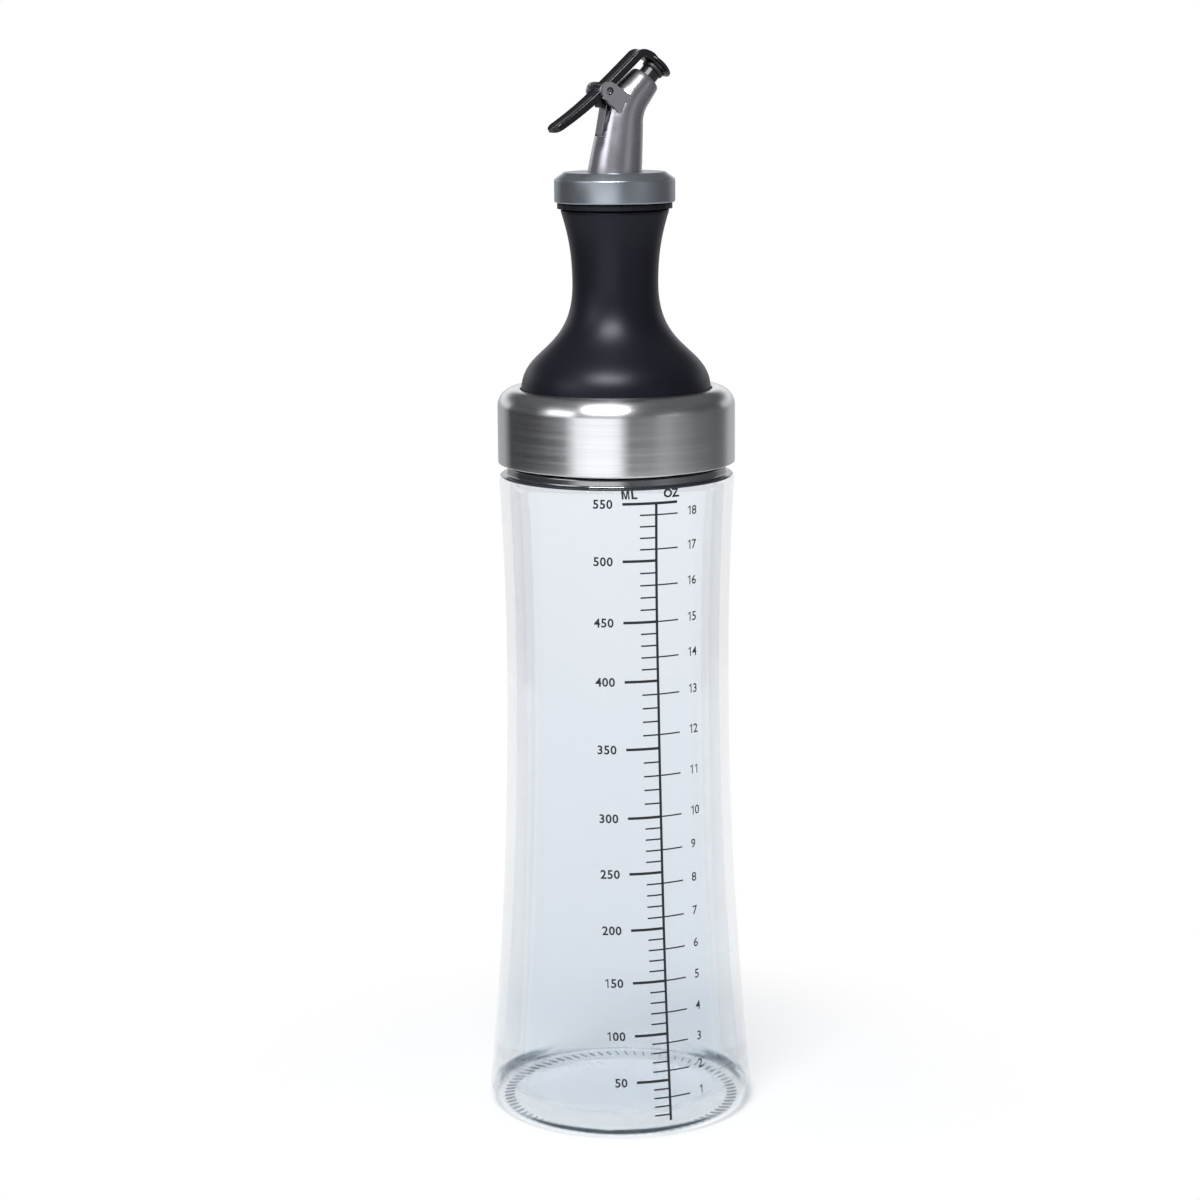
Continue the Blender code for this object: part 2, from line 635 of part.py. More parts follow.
def spout_line():
    """Places and tilts along the spout's centre line, from its foot to its end."""
    tangent = SPOUT_BEND_RADIUS * math.tan((SPOUT_TILT - SPOUT_LEAN) / 2)
    bend_start = BEND_POINT - LOWER_AXIS * tangent
    bend_centre = bend_start + Vector((LOWER_AXIS.z, 0.0, -LOWER_AXIS.x)) * SPOUT_BEND_RADIUS
    line = []
    for step in range(SPOUT_STRAIGHT_STEPS):
        place = SPOUT_FOOT.lerp(bend_start, step / SPOUT_STRAIGHT_STEPS)
        line.append((place, SPOUT_LEAN * min(1, step)))
    for step in range(SPOUT_BEND_STEPS + 1):
        tilt = SPOUT_LEAN + (SPOUT_TILT - SPOUT_LEAN) * step / SPOUT_BEND_STEPS
        out = Vector((-math.cos(tilt), 0.0, math.sin(tilt)))
        line.append((bend_centre + out * SPOUT_BEND_RADIUS, tilt))
    line.append((line[-1][0].lerp(SPOUT_END, 0.5), SPOUT_TILT))
    line.append((SPOUT_END, SPOUT_TILT))
    return line


def spout_radius(share):
    """Radius of the spout's skin at a share of its length."""
    return SPOUT_BASE_RADIUS + (SPOUT_TIP_RADIUS - SPOUT_BASE_RADIUS) * share ** SPOUT_TAPER_POWER


def tangent_heading(centre, radius, outside, side):
    """Angle on a circle where a line from an outside point touches its left (+1) or right (-1)."""
    apart = outside - centre
    return math.atan2(apart.z, apart.x) + side * math.acos(radius / apart.length)


def build_spout(material, parent):
    """Bent tapering spout with two ears, a leaf pocket, a tube bore and a hollow foot."""
    line = spout_line()
    lengths = [0.0]
    for before, after in zip(line, line[1:]):
        lengths.append(lengths[-1] + (after[0] - before[0]).length)
    base = Vector((0.0, 0.0, SPOUT_BASE))
    flange_top = Vector((0.0, 0.0, SPOUT_FLANGE_TOP))
    rings = [ring_across(base, 0.0, SPOUT_FLANGE_RADIUS, SPOUT_SIDES)]
    rings.append(ring_across(flange_top, 0.0, SPOUT_FLANGE_RADIUS, SPOUT_SIDES))
    rings.append(ring_across(flange_top, 0.0, SPOUT_BASE_RADIUS, SPOUT_SIDES))
    for (place, tilt), length in zip(line, lengths):
        rings.append(ring_across(place, tilt, spout_radius(length / lengths[-1]), SPOUT_SIDES))
    end = ring_across(SPOUT_END, SPOUT_TILT, SPOUT_TIP_RADIUS - SPOUT_END_ROUND, SPOUT_SIDES)
    shoulder = SPOUT_END - UPPER_AXIS * SPOUT_END_ROUND
    rings[-1] = ring_across(shoulder, SPOUT_TILT, SPOUT_TIP_RADIUS, SPOUT_SIDES)
    rings.append(end)
    spout = add_object("spout_body", lofted(rings), material, parent, crease=FLAT_CREASE_ANGLE)
    for number, side in enumerate((-1.0, 1.0), start=1):
        ear = prism(ear_outline(), EAR_THICKNESS / 2)
        middle = side * (EAR_INNER_FACE + EAR_THICKNESS / 2)
        bmesh.ops.translate(ear, verts=ear.verts, vec=(0.0, middle, 0.0))
        combine(spout, add_object(f"ear_{number}_shape", ear), "UNION")
    combine(spout, add_object("recess_tool", recess_shape()), "DIFFERENCE")
    combine(spout, add_object("pocket_tool", pocket_shape()), "DIFFERENCE")
    hole = cross_pin(PIN_CENTRE, PIN_RADIUS + GAP, EAR_INNER_FACE + 2 * EAR_THICKNESS)
    combine(spout, add_object("pin_hole_tool", hole), "DIFFERENCE")
    bore = tube_core(POUR_TUBE_RADIUS + GAP, 0.0, 2 * POUR_TUBE_PROUD)
    combine(spout, add_object("spout_bore_tool", bore), "DIFFERENCE")
    cavity = [(0.0, SPOUT_BASE - GAP), (SPOUT_CAVITY_RADIUS, SPOUT_BASE - GAP)]
    cavity += [(SPOUT_CAVITY_RADIUS, RING_TOP), (SPOUT_CAVITY_TOP_RADIUS, SPOUT_BASE + SPOUT_CAVITY_DEPTH)]
    cavity.append((0.0, SPOUT_BASE + SPOUT_CAVITY_DEPTH))
    hollow = turned(cavity, SPOUT_SIDES, closed=False)
    combine(spout, add_object("spout_cavity_tool", hollow), "DIFFERENCE")
    return spout


def ear_outline():
    """Side view of an ear: a round end about the pin, drawn out to two roots in the spout."""
    upper_root = BEND_POINT + UPPER_AXIS * EAR_UPPER_ROOT
    lower_root = BEND_POINT - LOWER_AXIS * EAR_LOWER_ROOT
    start = tangent_heading(PIN_CENTRE, EAR_RADIUS, upper_root, 1)
    end = tangent_heading(PIN_CENTRE, EAR_RADIUS, lower_root, -1) + math.tau
    centre = (PIN_CENTRE.x, PIN_CENTRE.z)
    outline = arc(centre, EAR_RADIUS, math.degrees(start), math.degrees(end), EAR_STEPS)
    outline.append((lower_root.x, lower_root.z))
    outline.append((upper_root.x, upper_root.z))
    return outline


def recess_shape():
    """Shallow flat cut down the spout's back, between the ears and the leaf's root."""
    low = SPOUT_FOOT + LOWER_AXIS * RECESS_RISE
    back = Vector((-LOWER_AXIS.z, 0.0, LOWER_AXIS.x))
    depth = spout_radius(RECESS_SHARE) - RECESS_DEPTH
    far = SPOUT_BASE_RADIUS * 2
    top = BEND_POINT + LOWER_AXIS * RECESS_TOP_RISE
    corners = [low + back * depth, low + back * far, top + back * far, top + back * (depth - RECESS_DEPTH)]
    return prism([(corner.x, corner.z) for corner in corners], RECESS_WIDTH / 2)


def leaf_direction(extra=0.0):
    """The way that the leaf points from its root, bent in by an extra angle."""
    angle = LEAF_LEAN + extra
    return Vector((math.sin(angle), 0.0, math.cos(angle)))


def pocket_shape():
    """Deeper cut that the leaf bends into, with a blind slot for its root."""
    bent = leaf_direction(LEAF_BEND)
    inward = Vector((bent.z, 0.0, -bent.x))
    rest = leaf_direction()
    outward = Vector((-rest.z, 0.0, rest.x))
    clear = LEAF_THICKNESS / 2 + GAP
    top = LEAF_LENGTH + 4 * GAP
    corners = [
        LEAF_ROOT - rest * POCKET_TAIL + inward * clear,
        LEAF_ROOT + inward * clear,
        LEAF_ROOT + bent * top + inward * clear,
        LEAF_ROOT + rest * top + outward * SPOUT_BASE_RADIUS,
        LEAF_ROOT + rest * GAP + outward * SPOUT_BASE_RADIUS,
        LEAF_ROOT + rest * GAP + outward * clear,
        LEAF_ROOT - rest * POCKET_TAIL + outward * clear,
    ]
    return prism([(corner.x, corner.z) for corner in corners], POCKET_WIDTH / 2)


def tube_core(radius, below, proud):
    """A round bar from below the stopper, along the spout's centre line and out of its end."""
    foot = Vector((0.0, 0.0, STOPPER_BOTTOM - below))
    rings = [ring_across(foot, 0.0, radius, SMALL_STEPS)]
    for place, tilt in spout_line():
        rings.append(ring_across(place, tilt, radius, SMALL_STEPS))
    rings[-1] = ring_across(SPOUT_END + UPPER_AXIS * proud, SPOUT_TILT, radius, SMALL_STEPS)
    return lofted(rings)


def build_pour_tube(material, parent):
    """Inner tube from under the stopper to the nozzle that stands out of the spout."""
    core = tube_core(POUR_TUBE_RADIUS, POUR_TUBE_BELOW, POUR_TUBE_PROUD)
    tube = add_object("pour_tube", core, material, parent)
    bore = tube_core(POUR_TUBE_BORE, 2 * POUR_TUBE_BELOW, 2 * POUR_TUBE_PROUD)
    combine(tube, add_object("tube_bore_tool", bore), "DIFFERENCE")
    return tube


def build_vent_tube(material, parent):
    """Thin straight tube through the stopper, beside the pour tube."""
    bottom = STOPPER_BOTTOM - VENT_TUBE_BELOW
    top = STOPPER_HEAD_TOP + VENT_TUBE_PROUD
    outline = [(VENT_TUBE_BORE, bottom), (VENT_TUBE_RADIUS, bottom)]
    outline += [(VENT_TUBE_RADIUS, top), (VENT_TUBE_BORE, top)]
    bm = turned(outline, SMALL_STEPS)
    bmesh.ops.translate(bm, verts=bm.verts, vec=(-VENT_TUBE_OFFSET, 0.0, 0.0))
    return add_object("vent_tube", bm, material, parent)


def build_pin(material, parent):
    """Steel pin through both ears, its ends a little below their faces."""
    half_length = EAR_INNER_FACE + EAR_THICKNESS - GAP
    shaft = cross_pin(PIN_CENTRE, PIN_RADIUS, half_length)
    return add_object("lever_pin", shaft, material, parent, PIN_CENTRE)


def lever_line():
    """Places, headings and half thicknesses along the lever, from the tab's end to the cap."""
    up = Vector((-math.sin(LEVER_SLOPE), 0.0, math.cos(LEVER_SLOPE)))
    bend = LEVER_CURL / LEVER_BACK_LENGTH
    half = LEVER_THICKNESS / 2
    centre = PIN_CENTRE + up * (LEVER_OFFSET + 1 / bend)
    line = []
    for step in range(LEVER_BACK_STEPS + 1):
        share = 1 - step / LEVER_BACK_STEPS
        reach = share * (2 - share)
        angle = LEVER_SLOPE - LEVER_CURL * reach
        down = Vector((math.sin(angle), 0.0, -math.cos(angle)))
        thin = (LEVER_END_THICKNESS - LEVER_THICKNESS) * reach / 2
        line.append((centre + down / bend, angle, half + thin, LEVER_BACK_LENGTH * (1 - reach)))
    place, angle = line[-1][0], line[-1][1]
    for length, turn, steps, end_share in LEVER_FRONT_ARCS:
        for step in range(steps):
            middle = angle + turn / steps / 2
            place = place + Vector((math.cos(middle), 0.0, math.sin(middle))) * (length / steps)
            angle += turn / steps
            thinned = 1 + (end_share - 1) * (step + 1) / steps
            line.append((place, angle, half * thinned, LEVER_BACK_LENGTH))
    return line


def lever_section(place, angle, half, from_end):
    """Rounded section of the lever, with a shallow channel between two rims on its outer face."""
    up = Vector((-math.sin(angle), 0.0, math.cos(angle)))
    shrink = 1.0
    if from_end < LEVER_TAB_ROUND:
        inset = 1 - from_end / LEVER_TAB_ROUND
        shrink = math.sqrt(max(LEVER_TAB_END_LEAST, 1 - inset * inset))
    width = LEVER_WIDTH / 2 * (LEVER_TAB_END_WIDTH + (1 - LEVER_TAB_END_WIDTH) * shrink)
    tall = half * (LEVER_TAB_END_HEIGHT + (1 - LEVER_TAB_END_HEIGHT) * shrink)
    corner = LEVER_CORNER * shrink
    channel = LEVER_CHANNEL * shrink
    rim = LEVER_RIM * shrink
    half_outline = [
        (width - rim - channel, tall - channel),
        (width - rim, tall),
        (width - corner, tall),
        (width, tall - corner),
        (width, corner - tall),
        (width - corner, -tall),
    ]
    outline = half_outline + [(-across, rise) for across, rise in reversed(half_outline)]
    return [place + Vector((0.0, across, 0.0)) + up * rise for across, rise in outline]


def cap_centre():
    """Point on the nozzle's axis where the cap's foot lies."""
    return TUBE_END + UPPER_AXIS * (GAP + SEAL_THICKNESS + GAP)


def place_on_nozzle(bm, origin):
    """Turn a shape drawn about +Z onto the nozzle's axis."""
    turn = Matrix.Rotation(SPOUT_TILT, 4, "Y")
    bmesh.ops.transform(bm, matrix=Matrix.Translation(origin) @ turn, verts=bm.verts)
    return bm


def build_lever(material, parent):
    """Lever with a curled thumb tab, a pin boss, a lug for the leaf and a domed cap."""
    rings = [lever_section(*station) for station in lever_line()]
    lever = add_object("lever", lofted(rings), material, parent, PIN_CENTRE)
    boss = cross_pin(PIN_CENTRE, LEVER_BOSS_RADIUS, LEVER_WIDTH / 2 - GAP)
    combine(lever, add_object("boss_shape", boss), "UNION")
    combine(lever, add_object("lug_shape", lug_shape()), "UNION")
    combine(lever, add_object("cap_shape", cap_shape()), "UNION")
    combine(lever, add_object("seal_space_tool", seal_space()), "DIFFERENCE")
    hole = cross_pin(PIN_CENTRE, PIN_RADIUS + GAP, LEVER_WIDTH)
    combine(lever, add_object("lever_hole_tool", hole), "DIFFERENCE")
    return lever


def cap_shape():
    """Flared cap with a domed top."""
    top = CAP_FLARE_HEIGHT + CAP_DOME_HEIGHT
    dome = bezier(
        (CAP_RIM_RADIUS, CAP_FLARE_HEIGHT),
        (CAP_RIM_RADIUS, CAP_FLARE_HEIGHT + CAP_DOME_HEIGHT * CORNER_PULL),
        (CAP_RIM_RADIUS * CORNER_PULL, top),
        (0.0, top),
        CAP_DOME_STEPS,
    )
    outline = [(0.0, 0.0), (CAP_FOOT_RADIUS, 0.0)] + dome + [(0.0, top)]
    return place_on_nozzle(turned(outline, CAP_STEPS, closed=False), cap_centre())


def seal_space():
    """Room round the seal under the cap, with the socket that holds the seal's plug."""
    space = SEAL_RADIUS + GAP
    foot = -SEAL_THICKNESS - 2 * GAP
    ceiling = -GAP / 2
    outline = [(0.0, foot), (space, foot), (space, ceiling), (CAP_SOCKET_RADIUS, ceiling)]
    outline += [(CAP_SOCKET_RADIUS, CAP_SOCKET_DEPTH), (0.0, CAP_SOCKET_DEPTH)]
    return place_on_nozzle(turned(outline, CAP_STEPS, closed=False), cap_centre())


def lug_shape():
    """Short lug under the pin whose front face presses the leaf."""
    face = PIN_CENTRE.x - LUG_BACK
    tip = PIN_CENTRE.z - LUG_REACH
    chamfer = LUG_THICKNESS / 4
    outline = [(face, PIN_CENTRE.z - PIN_RADIUS), (face, tip), (face - LUG_THICKNESS + chamfer, tip)]
    outline += [(face - LUG_THICKNESS, tip + chamfer), (face - LUG_THICKNESS, PIN_CENTRE.z - PIN_RADIUS)]
    return prism(outline, LUG_WIDTH / 2)


def build_seal(material, parent):
    """Soft disc that closes the nozzle, with a plug that sits in the cap's socket."""
    plug = CAP_SOCKET_RADIUS - GAP
    plug_top = SEAL_THICKNESS + CAP_SOCKET_DEPTH
    outline = [(0.0, 0.0), (SEAL_RADIUS - GAP, 0.0), (SEAL_RADIUS, GAP), (SEAL_RADIUS, SEAL_THICKNESS)]
    outline += [(plug, SEAL_THICKNESS), (plug, plug_top), (0.0, plug_top)]
    seat = TUBE_END + UPPER_AXIS * GAP
    seal = place_on_nozzle(turned(outline, CAP_STEPS, closed=False), seat)
    return add_object("tip_seal", seal, material, parent, seat)


def build_leaf(material, parent):
    """Thin spring strip, rooted in the spout's slot, whose top bears on the lever's lug."""
    rest = leaf_direction()
    outward = Vector((-rest.z, 0.0, rest.x)) * (LEAF_THICKNESS / 2)
    low = LEAF_ROOT - rest * LEAF_TAIL
    high = LEAF_ROOT + rest * LEAF_LENGTH
    corners = [low - outward, high - outward, high + outward, low + outward]
    strip = prism([(corner.x, corner.z) for corner in corners], LEAF_WIDTH / 2)
    return add_object("leaf_spring", strip, material, parent, LEAF_ROOT)


def main():
    """Build every piece and hang the moving ones on their joint axes."""
    clear_scene()
    materials = {name: make_material(name) for name in SURFACES}

    lid_pivot = add_pivot("lid_pivot", Vector((0.0, 0.0, RIM_HEIGHT)))
    pourer_pivot = add_pivot("pourer_pivot", Vector((0.0, 0.0, NECK_TOP)))
    lever_pivot = add_pivot("lever_pivot", PIN_CENTRE)
    leaf_pivot = add_pivot("leaf_pivot", LEAF_ROOT)

    build_glass(materials["clear_glass"])
    build_strainer(materials["strainer_black"], lid_pivot)
    build_gasket(materials["gasket_silicone"], lid_pivot)
    build_collar(materials["brushed_steel"], lid_pivot)
    build_liner(materials["liner_black"], lid_pivot)
    build_neck(materials["soft_black"], lid_pivot)
    build_stopper(materials["stopper_silicone"], pourer_pivot)
    build_cap_ring(materials["ring_silver"], pourer_pivot)
    build_spout(materials["spout_silver"], pourer_pivot)
    build_pour_tube(materials["tube_black"], pourer_pivot)
    build_vent_tube(materials["vent_white"], pourer_pivot)
    build_pin(materials["pin_steel"], lever_pivot)
    build_lever(materials["lever_black"], lever_pivot)
    build_seal(materials["seal_black"], lever_pivot)
    build_leaf(materials["leaf_steel"], leaf_pivot)


main()
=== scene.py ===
from math import acos, asin, atan2, cos, degrees, hypot, pi, radians, sin, sqrt, tan, tau

import bmesh
import bpy
from mathutils import Matrix, Vector


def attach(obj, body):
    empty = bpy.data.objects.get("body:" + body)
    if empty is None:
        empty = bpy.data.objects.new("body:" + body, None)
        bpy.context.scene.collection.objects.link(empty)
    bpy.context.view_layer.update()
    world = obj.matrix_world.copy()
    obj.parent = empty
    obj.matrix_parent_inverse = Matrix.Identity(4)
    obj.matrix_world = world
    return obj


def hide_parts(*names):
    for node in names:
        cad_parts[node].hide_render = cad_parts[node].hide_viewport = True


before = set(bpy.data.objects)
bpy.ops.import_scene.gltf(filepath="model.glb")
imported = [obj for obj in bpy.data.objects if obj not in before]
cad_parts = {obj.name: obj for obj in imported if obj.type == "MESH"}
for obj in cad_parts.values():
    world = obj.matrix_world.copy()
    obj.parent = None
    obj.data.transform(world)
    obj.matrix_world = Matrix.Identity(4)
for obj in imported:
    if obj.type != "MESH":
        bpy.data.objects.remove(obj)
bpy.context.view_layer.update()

scene = bpy.context.scene

# Shape, as in the CAD model, in metres
FOOT_RADIUS = 0.0386
FOOT_HEIGHT = 0.005
BEARING_OUTER = 0.0348
BEARING_INNER = 0.0312
PUNT_DEPTH = 0.0018
WAIST_RADIUS = 0.0321
WAIST_HEIGHT = 0.138
SHOULDER_RADIUS = 0.0336
SHOULDER_HEIGHT = 0.1872
SHOULDER_ROUND = 0.0012
WALL_TOP = SHOULDER_HEIGHT - SHOULDER_ROUND
LOWER_SWELL = 2.1
UPPER_SWELL = 1.7
WALL = 0.00275
FLOOR_HEIGHT = 0.0046
FLOOR_CORNER = 0.006
BEAD_RADIUS = 0.0312
BEAD_TOP = 0.1898
BEAD_ROUND = 0.0007
THROAT_HEIGHT = 0.0075
FINISH_RADIUS = 0.0292
MOUTH_RADIUS = 0.0262
RIM_HEIGHT = 0.2042
RIM_ROUND = 0.0008
RIDGE_LIFT = 0.0003
THREAD_PITCH = 0.004
THREAD_CREST = 0.0009
COLLAR_RADIUS = 0.03385
COLLAR_TOP = 0.2118
COLLAR_BASE = 0.1906
COLLAR_ROLL = 0.0052
ROLL_CENTRE = (COLLAR_RADIUS - COLLAR_ROLL, COLLAR_TOP - COLLAR_ROLL)
COLLAR_SHEET = 0.0006
GAP = 0.0003
NECK_BASE = 0.2095
NECK_FLANGE_TOP = 0.2109
NECK_FOOT_RADIUS = 0.027
NECK_WALL = 0.002
NECK_WAIST_RADIUS = 0.01217
NECK_WAIST_HEIGHT = 0.2411
NECK_TOP = 0.262
NECK_TOP_RADIUS = 0.0153
NECK_EDGE = 0.0004
NECK_BORE = 0.0102
RING_RADIUS = 0.01705
RING_BASE = 0.264
RING_TOP = 0.2724
SPOUT_RADIUS = 0.0076
SPOUT_TIP_RADIUS = 0.0045
SPOUT_TIP_ROUND = 0.0005
SPOUT_FLANGE_RADIUS = 0.0115
SPOUT_BASE = 0.2688
SPOUT_FLANGE_TOP = 0.2704
SPOUT_LEAN = radians(8.5)
SPOUT_TILT = radians(43.3)
SPOUT_RISE = 0.018
SPOUT_REACH = 0.0104
SPOUT_BEND = 0.014
NOTCH_FOOT = 0.0107
NOTCH_TOP = 0.0044
NOTCH_REACH = 0.016
CAVITY_RADIUS = 0.0063
CAVITY_TOP_RADIUS = 0.0044
CAVITY_HEIGHT = 0.0102
TUBE_RADIUS = 0.0028
TUBE_PROUD = 0.0026
TUBE_FOOT = 0.24
PIN_RADIUS = 0.0008
EAR_RADIUS = 0.0025
EAR_THICKNESS = 0.0016
EAR_UPPER_REACH = 0.0026
EAR_LOWER_REACH = 0.0044
LEVER_WIDTH = 0.0064
LEVER_THICKNESS = 0.0023
LEVER_END_THICKNESS = 0.002
LEVER_SLOPE = radians(40.5)
LEVER_CURL = radians(10.5)
LEVER_OFFSET = 0.00042
LEVER_BACK = 0.0192
LEVER_END_ROUND = 0.0026
BOSS_RADIUS = 0.0019
LUG_DROP = 0.0046
LUG_THICKNESS = 0.0012
LUG_CHAMFER = 0.0003
SEAL_THICKNESS = 0.0009
SEAL_RADIUS = 0.0033
CAP_RIM = 0.0047
CAP_FOOT = 0.0035
CAP_FLARE = 0.0012
CAP_DOME = 0.0012
LEAF_WIDTH = 0.0042
LEAF_THICKNESS = 0.0004
LEAF_LENGTH = 0.0082
LEAF_TAIL = 0.0006
POCKET_SLOT = 0.0011
LEAF_LEAN = radians(11.0)
LEAF_BEND = radians(13.5)

UPPER_AXIS = Vector((sin(SPOUT_TILT), 0.0, cos(SPOUT_TILT)))
LOWER_AXIS = Vector((sin(SPOUT_LEAN), 0.0, cos(SPOUT_LEAN)))
SPOUT_FOOT = Vector((0.0, 0.0, RING_TOP))
BEND_POINT = SPOUT_FOOT + LOWER_AXIS * (SPOUT_RISE / LOWER_AXIS.z)
SPOUT_END = BEND_POINT + UPPER_AXIS * SPOUT_REACH
PIN_CENTRE = BEND_POINT + Vector((-0.0065, 0.0, 0.0044))
LEAF_ROOT = SPOUT_FOOT + Vector((-0.00475, 0.0, 0.011))
EAR_INNER = LEVER_WIDTH / 2 + GAP


# Mesh tools

def add_object(name, data):
    """Put an object with the given data in the scene."""
    thing = bpy.data.objects.new(name, data)
    scene.collection.objects.link(thing)
    return thing


def smooth(mesh, crease):
    """Shade a mesh smooth apart from its creases."""
    mesh.shade_smooth()
    mesh.set_sharp_from_angle(angle=radians(crease))


def smooth_object(name, bm, crease=35.0):
    """Make an object from a bmesh, smooth apart from its creases."""
    bmesh.ops.remove_doubles(bm, verts=bm.verts, dist=1e-7)
    bmesh.ops.recalc_face_normals(bm, faces=bm.faces)
    mesh = bpy.data.meshes.new(name)
    bm.to_mesh(mesh)
    bm.free()
    smooth(mesh, crease)
    return add_object(name, mesh)


def dress(thing, material):
    """Give an object one material."""
    thing.data.materials.clear()
    thing.data.materials.append(material)


def piece(thing, body, material, replaces=None):
    """Give a finished piece its body and material, and hide any CAD part that it replaces."""
    dress(thing, material)
    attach(thing, body)
    if replaces:
        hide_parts(replaces)


def arc(centre, radius, start, end, steps):
    """Points of a round stretch of an outline."""
    points = []
    for step in range(steps + 1):
        angle = radians(start + (end - start) * step / steps)
        points.append((centre[0] + radius * cos(angle), centre[1] + radius * sin(angle)))
    return points


def bezier(first, second, third, last, steps):
    """Points of a cubic curve, without its last one."""
    points = []
    for step in range(steps):
        t = step / steps
        weights = ((1 - t) ** 3, 3 * t * (1 - t) ** 2, 3 * t * t * (1 - t), t ** 3)
        terms = list(zip(weights, (first, second, third, last)))
        points.append(tuple(sum(w * p[axis] for w, p in terms) for axis in (0, 1)))
    return points


def circle(radius, sides):
    """Points of a circle about the origin."""
    angles = [tau * side / sides for side in range(sides)]
    return [(radius * cos(angle), radius * sin(angle)) for angle in angles]


def turned(outline, sides):
    """Revolve a closed outline of (radius, height) points, or one from axis to axis."""
    bm = bmesh.new()
    rows = []
    for radius, height in outline:
        if radius < 1e-7:
            rows.append([bm.verts.new((0.0, 0.0, height))] * sides)
        else:
            rows.append([bm.verts.new((x, y, height)) for x, y in circle(radius, sides)])
    for low, high in zip(rows, rows[1:] + rows[:1]):
        for side in range(sides):
            after = (side + 1) % sides
            corners = dict.fromkeys((low[side], low[after], high[after], high[side]))
            if len(corners) > 2:
                bm.faces.new(list(corners))
    return bm


def skin(bm, rings):
    """Skin a row of closed rings and cap both ends."""
    rows = [[bm.verts.new(point) for point in ring] for ring in rings]
    for row, following in zip(rows, rows[1:]):
        for index in range(len(row)):
            after = (index + 1) % len(row)
            bm.faces.new((row[index], row[after], following[after], following[index]))
    bm.faces.new(rows[0])
    bm.faces.new(rows[-1])


def lofted(rings):
    """A solid shape through a row of closed rings."""
    bm = bmesh.new()
    skin(bm, rings)
    return bm


def ring_across(centre, tilt, radius, sides=32):
    """A circle square to a direction tilted from +Z toward +X."""
    across = Vector((cos(tilt), 0.0, -sin(tilt)))
    return [centre + across * x + Vector((0.0, y, 0.0)) for x, y in circle(radius, sides)]


def pin_ring(place, radius, sides=32):
    """A circle round the pin's axis, at a place along Y."""
    return [PIN_CENTRE + Vector((x, place, z)) for x, z in circle(radius, sides)]


def cross_pin(radius, half_length, sides=32):
    """A round bar along the pin's axis."""
    return lofted([pin_ring(place, radius, sides) for place in (-half_length, half_length)])


def prism(outline, half_width):
    """Extrude an outline of (x, z) points to both sides of the XZ plane."""
    return lofted([[(x, y, z) for x, z in outline] for y in (-half_width, half_width)])


def evaluated_mesh(thing):
    """A new mesh of an object as it is shown."""
    graph = bpy.context.evaluated_depsgraph_get()
    graph.update()
    return bpy.data.meshes.new_from_object(thing.evaluated_get(graph))


def settle(target):
    """Turn an object's modifiers into its mesh."""
    mesh = evaluated_mesh(target)
    target.modifiers.clear()
    old = target.data
    target.data = mesh
    bpy.data.meshes.remove(old)


def combine(target, bm, operation):
    """Join a shape on or cut it out."""
    tool = smooth_object("shape_tool", bm)
    modifier = target.modifiers.new("shape", "BOOLEAN")
    modifier.operation = operation
    modifier.solver = "EXACT"
    modifier.object = tool
    settle(target)
    bpy.data.objects.remove(tool, do_unlink=True)


def soften(target, width, angle, crease):
    """Round sharp edges a little and shade flats as flats."""
    bevel = target.modifiers.new("edge", "BEVEL")
    bevel.width = width
    bevel.segments = 2
    bevel.limit_method = "ANGLE"
    bevel.angle_limit = radians(angle)
    settle(target)
    smooth(target.data, crease)
    weighted = target.modifiers.new("normals", "WEIGHTED_NORMAL")
    weighted.keep_sharp = True
    settle(target)


# Shader nodes

def set_inputs(node, inputs):
    """Set inputs to plain values or three-number colours, or link them to outputs."""
    for name, value in inputs.items():
        socket = node.inputs[name]
        if isinstance(value, bpy.types.NodeSocket):
            node.id_data.links.new(value, socket)
        elif socket.type == "RGBA":
            socket.default_value = (*value, 1.0)
        else:
            socket.default_value = value


def add_node(tree, kind, inputs, **settings):
    """A new node with its settings and inputs."""
    node = tree.nodes.new("ShaderNode" + kind)
    for name, value in settings.items():
        setattr(node, name, value)
    set_inputs(node, inputs)
    return node


def empty_tree(owner):
    """Node tree of a material or world, emptied."""
    owner.use_nodes = True
    owner.node_tree.nodes.clear()
    return owner.node_tree


def new_material(name):
    """A material with a Principled shader, and its Object coordinates."""
    material = bpy.data.materials.new(name)
    material.use_nodes = True
    return material, add_node(material.node_tree, "TexCoord", {}).outputs["Object"]


def height_in(place):
    """Z of coordinates."""
    return add_node(place.id_data, "SeparateXYZ", {0: place}).outputs["Z"]


def noise(place, scale, detail=3.0, stretch=None):
    """A noise value between 0 and 1, with its coordinates stretched by axis."""
    if stretch:
        place = add_node(place.id_data, "VectorMath", {0: place, 1: stretch}, operation="MULTIPLY").outputs[0]
    inputs = {"Vector": place, "Scale": scale, "Detail": detail}
    return add_node(place.id_data, "TexNoise", inputs).outputs["Fac"]


def spread(value, low, high, new_low=0.0, new_high=1.0, **settings):
    """Map a value from one range to another."""
    limits = {"From Min": low, "From Max": high, "To Min": new_low, "To Max": new_high}
    return add_node(value.id_data, "MapRange", {"Value": value, **limits}, **settings).outputs["Result"]


def uneven(value, low, high):
    """Spread a noise value's usual range between two numbers."""
    return spread(value, 0.3, 0.7, low, high)


def arithmetic(operation, first, second):
    """One step of arithmetic with a node's value and another value or number."""
    return add_node(first.id_data, "Math", {0: first, 1: second}, operation=operation).outputs[0]


def blend_colours(value, first, second):
    """A colour between two, by a value from 0 to 1."""
    inputs = {"Factor": value, "A": first, "B": second}
    return add_node(value.id_data, "Mix", inputs, data_type="RGBA").outputs["Result"]


